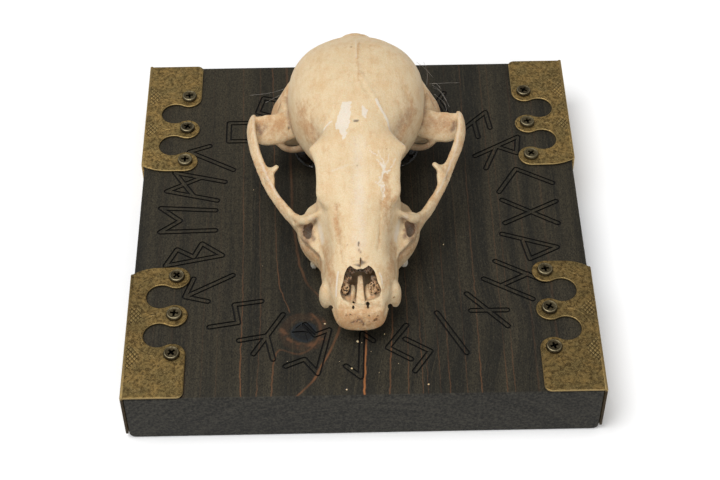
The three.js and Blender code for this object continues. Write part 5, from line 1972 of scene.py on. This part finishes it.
        # Rims and bend worn bright, partly painted highlight.
        wear_and_sheen = ramp(edge, 0.416, 0.096) * 0.8 + bend * 0.35
        relief = self._relief(x, y) / self.knurl_relief
        clay.store("wear_and_sheen", (wear_and_sheen + relief * 1.5) * high)
        clay.store("darkening", ramp(relief * -1.8, 0, 1) * high * 0.9)

    def make(self) -> None:
        """Builds the four plates and publishes them."""
        material = AntiqueBrass().material()
        for corner in CORNERS:
            clay = Clay(self.build())
            self.dress(clay)
            piece = Piece(f"brass_corner_{corner.word}", Slot.BRASS,
                          (f"corner_plate_{corner.word}",), crease=50.0)
            piece.publish(clay.mesh, material, corner.place())


@dataclass(frozen=True)
class ScrewMetal:
    """Bronze-plated screw metal, rubbed bright on its edge with a painted highlight there, and painted
    shade in its cross recess.
    """

    name: str = "screw_bronze"
    bright: Colour = paint(172, 160, 128)
    bronze: Colour = paint(106, 96, 72)
    shadowed: Colour = paint(80, 71, 53)
    dark: Colour = paint(40, 34, 26)
    # Painted shade for the cross recess.
    pit: Colour = paint(10, 9, 8)

    def material(self) -> bpy.types.Material:
        """Wires up the finish.

        Returns:
            The material.
        """
        bench = Bench(self.name)
        place = bench.place()
        mottle = bench.clouds(place, 0.9, 4.0, 0.6)
        grain = bench.clouds(place, 0.25, 2.0)
        batch = bench.clouds(place, 12.0, 0.0).rise(0.4, 0.6)
        worn_and_lit = bench.mask("wear_and_sheen") * 0.8 + (mottle - 0.5) * 0.4
        # The wear mask is a rubbed rim painted brighter as highlight; the recess mask lays the pit
        # colour as painted shade in the cross.
        colour = bench.coats(self.bronze, (batch, self.shadowed),
                             (mottle.rise(0.45, 0.8) * 0.4, self.bright),
                             (grain.rise(0.5, 0.75) * 0.7, self.dark),
                             (worn_and_lit.rise(0.4, 0.8), self.bright), (bench.mask("recess"), self.pit))
        return bench.finish(Base_Color=colour, Metallic=1.0, Roughness=0.38 + grain * 0.24,
                            Normal=bench.relief(mottle, 0.03))


@dataclass
class PanScrew:
    """A pan-head screw with a cross recess, standing on z = 0."""

    profile: tuple[tuple[float, float], ...] = (
        (0, 0.96), (1.2, 0.94), (1.62, 0.92), (1.78, 0.98), (1.95, 1.04), (2.14, 0.98),
        (2.32, 0.78), (2.43, 0.44), (2.45, 0.14), (2.38, 0.0), (1.0, 0.0), (1.0, -10.0),
        (0.0, -12.5))
    steps: int = 40
    arm_half: float = 1.5
    arm_width: float = 0.44
    recess_depth: float = 0.75
    foot_share: float = 0.62
    rim_radius: float = 2.05
    recess_reach: float = 1.58
    recess_top: float = 0.9
    stands_on: float = 20.2
    seed: int = 11

    def build(self) -> bpy.types.Mesh:
        """The screw.

        Returns:
            The closed mesh.
        """
        def turned(work: bmesh.types.BMesh) -> None:
            """Spins the profile round the axis.

            Args:
                work: The bmesh.
            """
            verts = [work.verts.new((r, 0, z)) for r, z in self.profile]
            edges = [work.edges.new(pair) for pair in zip(verts, verts[1:])]
            bmesh.ops.spin(work, geom=verts + edges, cent=(0, 0, 0), axis=(0, 0, 1),
                           angle=2 * math.pi, steps=self.steps, use_merge=True)
            bmesh.ops.remove_doubles(work, verts=work.verts[:], dist=0.0005)

        half, width, face = self.arm_half, self.arm_width, self.profile[0][1]
        quarter = [Vector((x, y, 0)) for x, y in ((half, width), (width, width), (width, half))]
        ring = [Matrix.Rotation(turn * math.pi / 2, 3, "Z") @ corner
                for turn in range(4) for corner in quarter]
        cross = loft([[point * share + Vector((0, 0, z)) for point in ring] for share, z in
                      ((1.0, face + 0.5), (self.foot_share, face - self.recess_depth))])
        return carved(shape(turned), cross)

    def make(self) -> None:
        """Builds the twelve screws and publishes them."""
        rng = random.Random(self.seed)
        material = ScrewMetal().material()
        for corner in CORNERS:
            for number, (x, y) in enumerate(corner.screw_places(), 1):
                clay = Clay(self.build())
                out = np.hypot(clay.points[:, 0], clay.points[:, 1])
                height = clay.points[:, 2]
                rim = ramp(np.abs(out - self.rim_radius), 0.4, 0)
                below = ramp(self.recess_top - height, 0, 0.1)
                # Painted highlight, partly rubbing, on the rounded rim, and painted shade at the bottom
                # of the cross recess.
                clay.store("wear_and_sheen", rim * (height > 0.4))
                clay.store("recess", below * (out < self.recess_reach))
                turn = Matrix.Rotation(rng.uniform(0, math.pi / 2), 4, "Z")
                tilt = Matrix.Rotation(rng.uniform(-0.03, 0.03), 4, "X")
                place = Matrix.Translation((x, y, self.stands_on)) @ tilt @ turn
                name = f"screw_{corner.word}_{number}"
                piece = Piece(name, Slot.SCREW_METAL, (f"plate_{name}",), crease=35.0)
                piece.publish(clay.mesh, material, place)


# Hanger


@dataclass(frozen=True)
class HangerSteel:
    """Thin rolled steel with a few dull spots."""

    name: str = "hanger_steel"
    grey: Colour = paint(176, 174, 168)
    dull: Colour = paint(122, 118, 112)

    def material(self) -> bpy.types.Material:
        """Wires up the finish.

        Returns:
            The material.
        """
        bench = Bench(self.name)
        place = bench.place()
        drawn = bench.clouds(bench.stretch(place, (0.1, 1.0, 1.0)), 0.3, 3.0)
        spots = bench.clouds(place, 2.4, 4.0, 0.6)
        colour = bench.coats(self.grey, (spots.rise(0.45, 0.75), self.dull))
        return bench.finish(Base_Color=colour, Metallic=1.0, Roughness=0.3 + drawn * 0.2,
                            Normal=bench.relief(drawn, 0.02))


@dataclass
class Hanger:
    """The toothed hanger strip and its two nails, with softened edges."""

    edge: float = 0.12
    pieces: tuple[tuple[str, str], ...] = (
        ("toothed_hanger", "hanger"), ("hanger_pin_1", "hanger_nail_1"),
        ("hanger_pin_2", "hanger_nail_2"))

    def make(self) -> None:
        """Builds the three pieces from the frame's own and publishes them."""
        material = HangerSteel().material()
        for name, node in self.pieces:
            def soften(work: bmesh.types.BMesh) -> None:
                """Merges the loose triangles and bevels the sharp edges.

                Args:
                    work: The bmesh.
                """
                work.from_mesh(bpy.data.objects[node].data)
                bmesh.ops.remove_doubles(work, verts=work.verts[:], dist=0.000002)
                bmesh.ops.scale(work, vec=(1 / MM,) * 3, verts=work.verts[:])
                flat = [edge for edge in work.edges if edge.calc_face_angle(0) < 0.01]
                bmesh.ops.dissolve_edges(work, edges=flat, use_verts=False)
                bevelled(work, self.edge, 2, 0.9)
            Piece(name, Slot.HANGER_STEEL, (node,), crease=35.0).publish(shape(soften), material)


# Teeth


@dataclass(frozen=True)
class ToothEnamel:
    """Cream enamel with a tan neck and faint wear."""

    name: str = "tooth_enamel"
    white: Colour = paint(244, 238, 224)
    cream: Colour = paint(228, 212, 178)
    tan: Colour = paint(176, 138, 92)

    def material(self) -> bpy.types.Material:
        """Wires up the finish.

        Returns:
            The material.
        """
        bench = Bench(self.name)
        place = bench.place()
        z = bench.split(place)[2]
        clouds = bench.clouds(place, 1.6, 3.0)
        neck = (z + (clouds - 0.5) * 1.4).rise(BOARD_FACE + 3.0, BOARD_FACE + 4.8)
        colour = bench.coats(self.white, (clouds.rise(0.4, 0.7), self.cream),
                             (neck * 0.8, self.tan))
        return bench.finish(Base_Color=colour, Roughness=0.28 + neck * 0.3,
                            Normal=bench.relief(clouds, 0.03))


@dataclass(frozen=True)
class CheekTooth:
    """One cheek tooth, the same on both sides but mirrored.

    The cusps are places on the crown as shares of its half width and half length, from the
    midline out and from front to back, with a size and a height as shares of the crown's.
    """

    word: str
    distance: float
    x: float
    half: float
    length: float
    low: float
    cusps: tuple[tuple[float, float, float, float], ...]
    gum: float = 4.6
    root_top: float = 8.2
    root_share: float = 0.62
    voxel: float = 0.16

    def build(self, side: int) -> bpy.types.Mesh:
        """The tooth.

        Args:
            side: 1 for the right side and -1 for the left.

        Returns:
            The closed mesh.
        """
        place = Vector((side * self.x, self.distance))
        rise = self.gum - self.low
        levels = ((self.low + rise * 0.34, 0.74), (self.low + rise * 0.5, 0.88),
                  (self.low + rise * 0.75, 0.94), (self.gum, self.root_share),
                  (self.root_top, self.root_share * 0.8))
        crown = Bone(tuple((*place, z, self.half * share, self.length * share,
                            self.length * share, 2.6, 0) for z, share in levels), 18, steps=3)
        parts = [crown.build()]
        for across, back, size, tall in self.cusps:
            reach = size * min(self.half, self.length)
            middle = self.low + rise * (1 - tall) + reach
            parts.append(ball(place.x + side * across * self.half,
                              place.y + back * self.length, middle, reach, reach,
                              max(reach, rise * 0.5)))
        clay = merged(parts, self.voxel)
        clay.relax(3, 0.5, 0.3)
        return clay.mesh


@dataclass
class CheekTeeth:
    """The six cheek teeth of each side, front to back."""

    row: tuple[CheekTooth, ...] = (
        CheekTooth("premolar_1", 15.6, 9.2, 0.9, 1.1, 2.4, ((0, 0, 0.7, 1.0),)),
        CheekTooth("premolar_2", 19.8, 9.6, 1.2, 2.0, 1.6,
                   ((0, -0.1, 0.62, 1.0), (0, 0.6, 0.4, 0.62))),
        CheekTooth("premolar_3", 24.9, 10.4, 1.5, 2.3, 0.9,
                   ((0.1, -0.1, 0.6, 1.0), (0, 0.6, 0.42, 0.66), (0, -0.7, 0.3, 0.5))),
        CheekTooth("premolar_4", 31.7, 12.0, 3.2, 3.3, 0.1,
                   ((0.62, -0.42, 0.34, 1.0), (0.62, 0.4, 0.34, 0.92), (-0.4, -0.35, 0.34, 0.8),
                    (-0.4, 0.4, 0.3, 0.72), (0.5, -0.84, 0.2, 0.55))),
        CheekTooth("molar_1", 39.2, 14.4, 3.7, 3.6, 0.1,
                   ((0.62, -0.45, 0.32, 1.0), (0.62, 0.42, 0.32, 0.95), (-0.3, -0.45, 0.32, 0.82),
                    (-0.3, 0.35, 0.3, 0.78), (-0.68, 0.3, 0.24, 0.66))),
        CheekTooth("molar_2", 45.4, 12.9, 2.7, 2.1, 0.7,
                   ((0.55, -0.3, 0.4, 1.0), (0.45, 0.5, 0.36, 0.9), (-0.4, 0, 0.4, 0.8))))

    def make(self) -> None:
        """Builds the twelve teeth and publishes them."""
        material = ToothEnamel().material()
        for side in SIDES:
            for tooth in self.row:
                word = f"{SIDE_WORDS[side]}_{tooth.word}"
                piece = Piece(f"crown_{word}", Slot.ENAMEL, (f"tooth_{word}",))
                piece.publish(tooth.build(side), material, TO_SKULL)


# Glue and crumbs


@dataclass(frozen=True)
class ClearGlue:
    """Hardened clear glue, a little milky."""

    name: str = "clear_glue"
    tint: Colour = paint(120, 118, 110)

    def material(self) -> bpy.types.Material:
        """Wires up the finish.

        Returns:
            The material.
        """
        bench = Bench(self.name)
        waves = bench.clouds(bench.place(), 2.5, 2.0)
        return bench.finish(Base_Color=self.tint, Roughness=0.12 + waves * 0.1, IOR=1.4,
                            Transmission_Weight=0.97, Specular_IOR_Level=0.3,
                            Normal=bench.relief(waves, 0.3))


@dataclass
class Glue:
    """The glue under the ear capsules, and the fine strings that it pulled."""

    half_width: float = 7.5
    half_length: float = 8.5
    x: float = 13.0
    distance: float = 80.5
    levels: tuple[tuple[float, float], ...] = (
        (0.1, 0.98), (0.22, 1.0), (0.5, 0.97), (0.75, 0.88), (0.95, 0.7))
    around: int = 72
    string_radius: float = 0.042
    strings: tuple[tuple[tuple[float, float, float], ...], ...] = (
        ((20.5, 62.6, 27), (23.4, 63.4, 23.4), (26.4, 62.6, 19.6)),
        ((23.0, 62.5, 27), (24.2, 61.6, 23), (24.0, 58.4, 20)),
        ((25.4, 54.5, 24), (28.0, 54.4, 21.5), (30.3, 51.0, 19.6)),
        ((25.8, 52.0, 25), (28.8, 52.6, 22), (31.2, 48.0, 19.6)),
        ((26.0, 50.0, 24), (29.3, 49.0, 21), (30.2, 46.2, 19.5)),
        ((25.6, 56.0, 23), (31.0, 58.4, 21), (35.3, 60.3, 19.2)),
        ((24.8, 57.0, 22), (27.2, 58.8, 20.4), (28.9, 57.0, 19.3)),
        ((-24.0, 56.0, 22), (-29.4, 55.6, 20.4), (-36.4, 55.8, 19.2)),
        ((-23.6, 54.5, 22), (-27.2, 54.0, 20), (-31.0, 52.0, 19.3)))

    def _puddle(self, side: int) -> bpy.types.Mesh:
        """One puddle, with a wavy edge and a domed top.

        Args:
            side: 1 for the right side and -1 for the left.

        Returns:
            The closed mesh.
        """
        angle = turns(self.around)
        wave = 1 - 0.05 * (1 + np.sin(3 * angle + side) + 0.6 * np.sin(5 * angle - side)) / 2
        across = self.half_width * wave * np.cos(angle)
        along = self.half_length * wave * np.sin(angle)
        return loft([np.stack([side * self.x + share * across, self.distance + share * along,
                               np.full(self.around, z)], axis=1) for z, share in self.levels])

    def make(self) -> None:
        """Builds the puddles and the strings and publishes them."""
        material = ClearGlue().material()
        for side in SIDES:
            word = SIDE_WORDS[side]
            piece = Piece(f"glue_puddle_{word}", Slot.GLUE, (f"glue_{word}",), crease=60.0)
            piece.publish(self._puddle(side), material, TO_SKULL)
        threads = [rod(refined(path, 6), self.string_radius, 5) for path in self.strings]
        Piece("glue_strings", Slot.GLUE).publish(joined(threads), StringFinish().material())


@dataclass(frozen=True)
class StringFinish:
    """Pale dried glue drawn out into threads."""

    name: str = "glue_thread"
    pale: Colour = paint(186, 178, 166)
    grey: Colour = paint(132, 126, 118)

    def material(self) -> bpy.types.Material:
        """Wires up the finish.

        Returns:
            The material.
        """
        bench = Bench(self.name)
        lumps = bench.clouds(bench.place(), 1.5, 2.0)
        colour = bench.coats(self.pale, (lumps.rise(0.3, 0.7), self.grey))
        return bench.finish(Base_Color=colour, Roughness=0.35)


@dataclass
class Crumbs:
    """Specks of bone dust that lie on the board."""

    places: tuple[tuple[float, float, float], ...] = (
        (-1.5, -50.2, 0.42), (-0.3, -50.6, 0.16), (-11.2, -43.3, 0.34), (6.6, -47.6, 0.26),
        (-3.4, -60.1, 0.3), (-5.0, -67.7, 0.26), (18.9, -66.4, 0.34), (2.4, -54.0, 0.14),
        (-7.0, -57.4, 0.12), (10.4, -58.6, 0.13), (-22.4, -57.0, 0.1), (26.0, -12.6, 0.2),
        (-34.0, 12.2, 0.12), (21.0, -30.0, 0.1), (-30.5, -20.0, 0.1), (4.6, -61.8, 0.1))
    seed: int = 5

    def make(self) -> None:
        """Builds the specks and publishes them."""
        rng = random.Random(self.seed)
        specks = []
        for x, y, size in self.places:
            squash = Matrix.Diagonal((size, size * rng.uniform(0.6, 1.0), size * 0.7, 1))
            turn = Matrix.Rotation(rng.uniform(0, math.pi), 4, "Z")
            place = Matrix.Translation((x, y, BOARD_FACE + size * 0.55)) @ turn @ squash
            speck = shape(lambda work: bmesh.ops.create_icosphere(
                work, subdivisions=2, radius=1.0, matrix=place))
            clay = Clay(speck)
            clay.push(clay.crumple(0.4, x) * 0.3 * size)
            specks.append(clay.mesh)
        Piece("bone_crumbs", Slot.BONE).publish(joined(specks), BoneFinish("crumb_bone").material())


# Stage


@dataclass(frozen=True)
class Studio:
    """The pale floor, the soft lights and the camera at the photograph's angle."""

    lens: float = 82.087
    camera_place: tuple[float, float, float] = (-4.109, -348.212, 408.063)
    pitch: float = 49.0
    yaw: float = 0.686
    roll: float = -0.508
    floor_half: float = 3000.0
    floor_gap: float = 0.05
    floor_tint: Colour = (0.95, 0.95, 0.95, 1)
    sky: float = 0.46
    lights: tuple[tuple[str, tuple[float, float, float], float, float], ...] = (
        ("overhead", (-330, -170, 1060), 700, 9.9), ("front", (250, -900, 700), 500, 2.8))

    def _camera(self) -> None:
        """Places the camera."""
        pitch, yaw, roll = (math.radians(a) for a in (self.pitch, self.yaw, self.roll))
        ahead = Vector((math.sin(yaw) * math.cos(pitch), math.cos(yaw) * math.cos(pitch),
                        -math.sin(pitch)))
        level = Vector((math.cos(yaw), -math.sin(yaw), 0))
        upward = level.cross(ahead)
        right = level * math.cos(roll) + upward * math.sin(roll)
        up = upward * math.cos(roll) - level * math.sin(roll)
        turn = Matrix((right, up, -ahead)).transposed().to_4x4()
        lens = bpy.data.cameras.new("camera")
        lens.lens = self.lens
        lens.clip_start, lens.clip_end = 0.01, 20.0
        camera = placed("camera", lens)
        camera.matrix_world = Matrix.Translation(Vector(self.camera_place) * MM) @ turn
        bpy.context.scene.camera = camera

    def _light(self, name: str, place: Sequence[float], size: float, power: float) -> None:
        """Adds a soft square light that looks at the middle of the object.

        Args:
            name: Its name.
            place: Where it is, in millimetres.
            size: The length of its side, in millimetres.
            power: Its power in watts.
        """
        lamp = bpy.data.lights.new(name, "AREA")
        lamp.shape = "SQUARE"
        lamp.size = size * MM
        lamp.energy = power
        holder = placed(name, lamp)
        holder.location = Vector(place) * MM
        holder.rotation_mode = "QUATERNION"
        holder.rotation_quaternion = (-Vector(place)).to_track_quat("-Z", "Y")

    def build(self) -> None:
        """Sets up the whole studio."""
        scene = bpy.context.scene
        scene.view_settings.view_transform = "Standard"
        world = bpy.data.worlds.new("studio")
        world.use_nodes = True
        backdrop = world.node_tree.nodes["Background"].inputs
        backdrop["Color"].default_value = (1, 1, 1, 1)
        backdrop["Strength"].default_value = self.sky
        scene.world = world
        for light in self.lights:
            self._light(*light)
        floor = shape(lambda work: bmesh.ops.create_grid(
            work, x_segments=1, y_segments=1, size=self.floor_half))
        floor.transform(Matrix.Scale(MM, 4) @ Matrix.Translation((0, 0, -self.floor_gap)))
        bench = Bench("floor_paint")
        floor.materials.append(bench.finish(Base_Color=self.floor_tint, Roughness=0.9))
        thing = placed("floor", floor)
        self._camera()


def main() -> None:
    """Builds every part of the object in order."""
    logging.basicConfig(level=logging.INFO, format="%(message)s")
    Studio().build()
    for part in (Board, CornerPlate, PanScrew, Hanger, Skull, NoseBones, CheekTeeth, Glue, Crumbs):
        part().make()


if __name__ == "__main__":
    main()
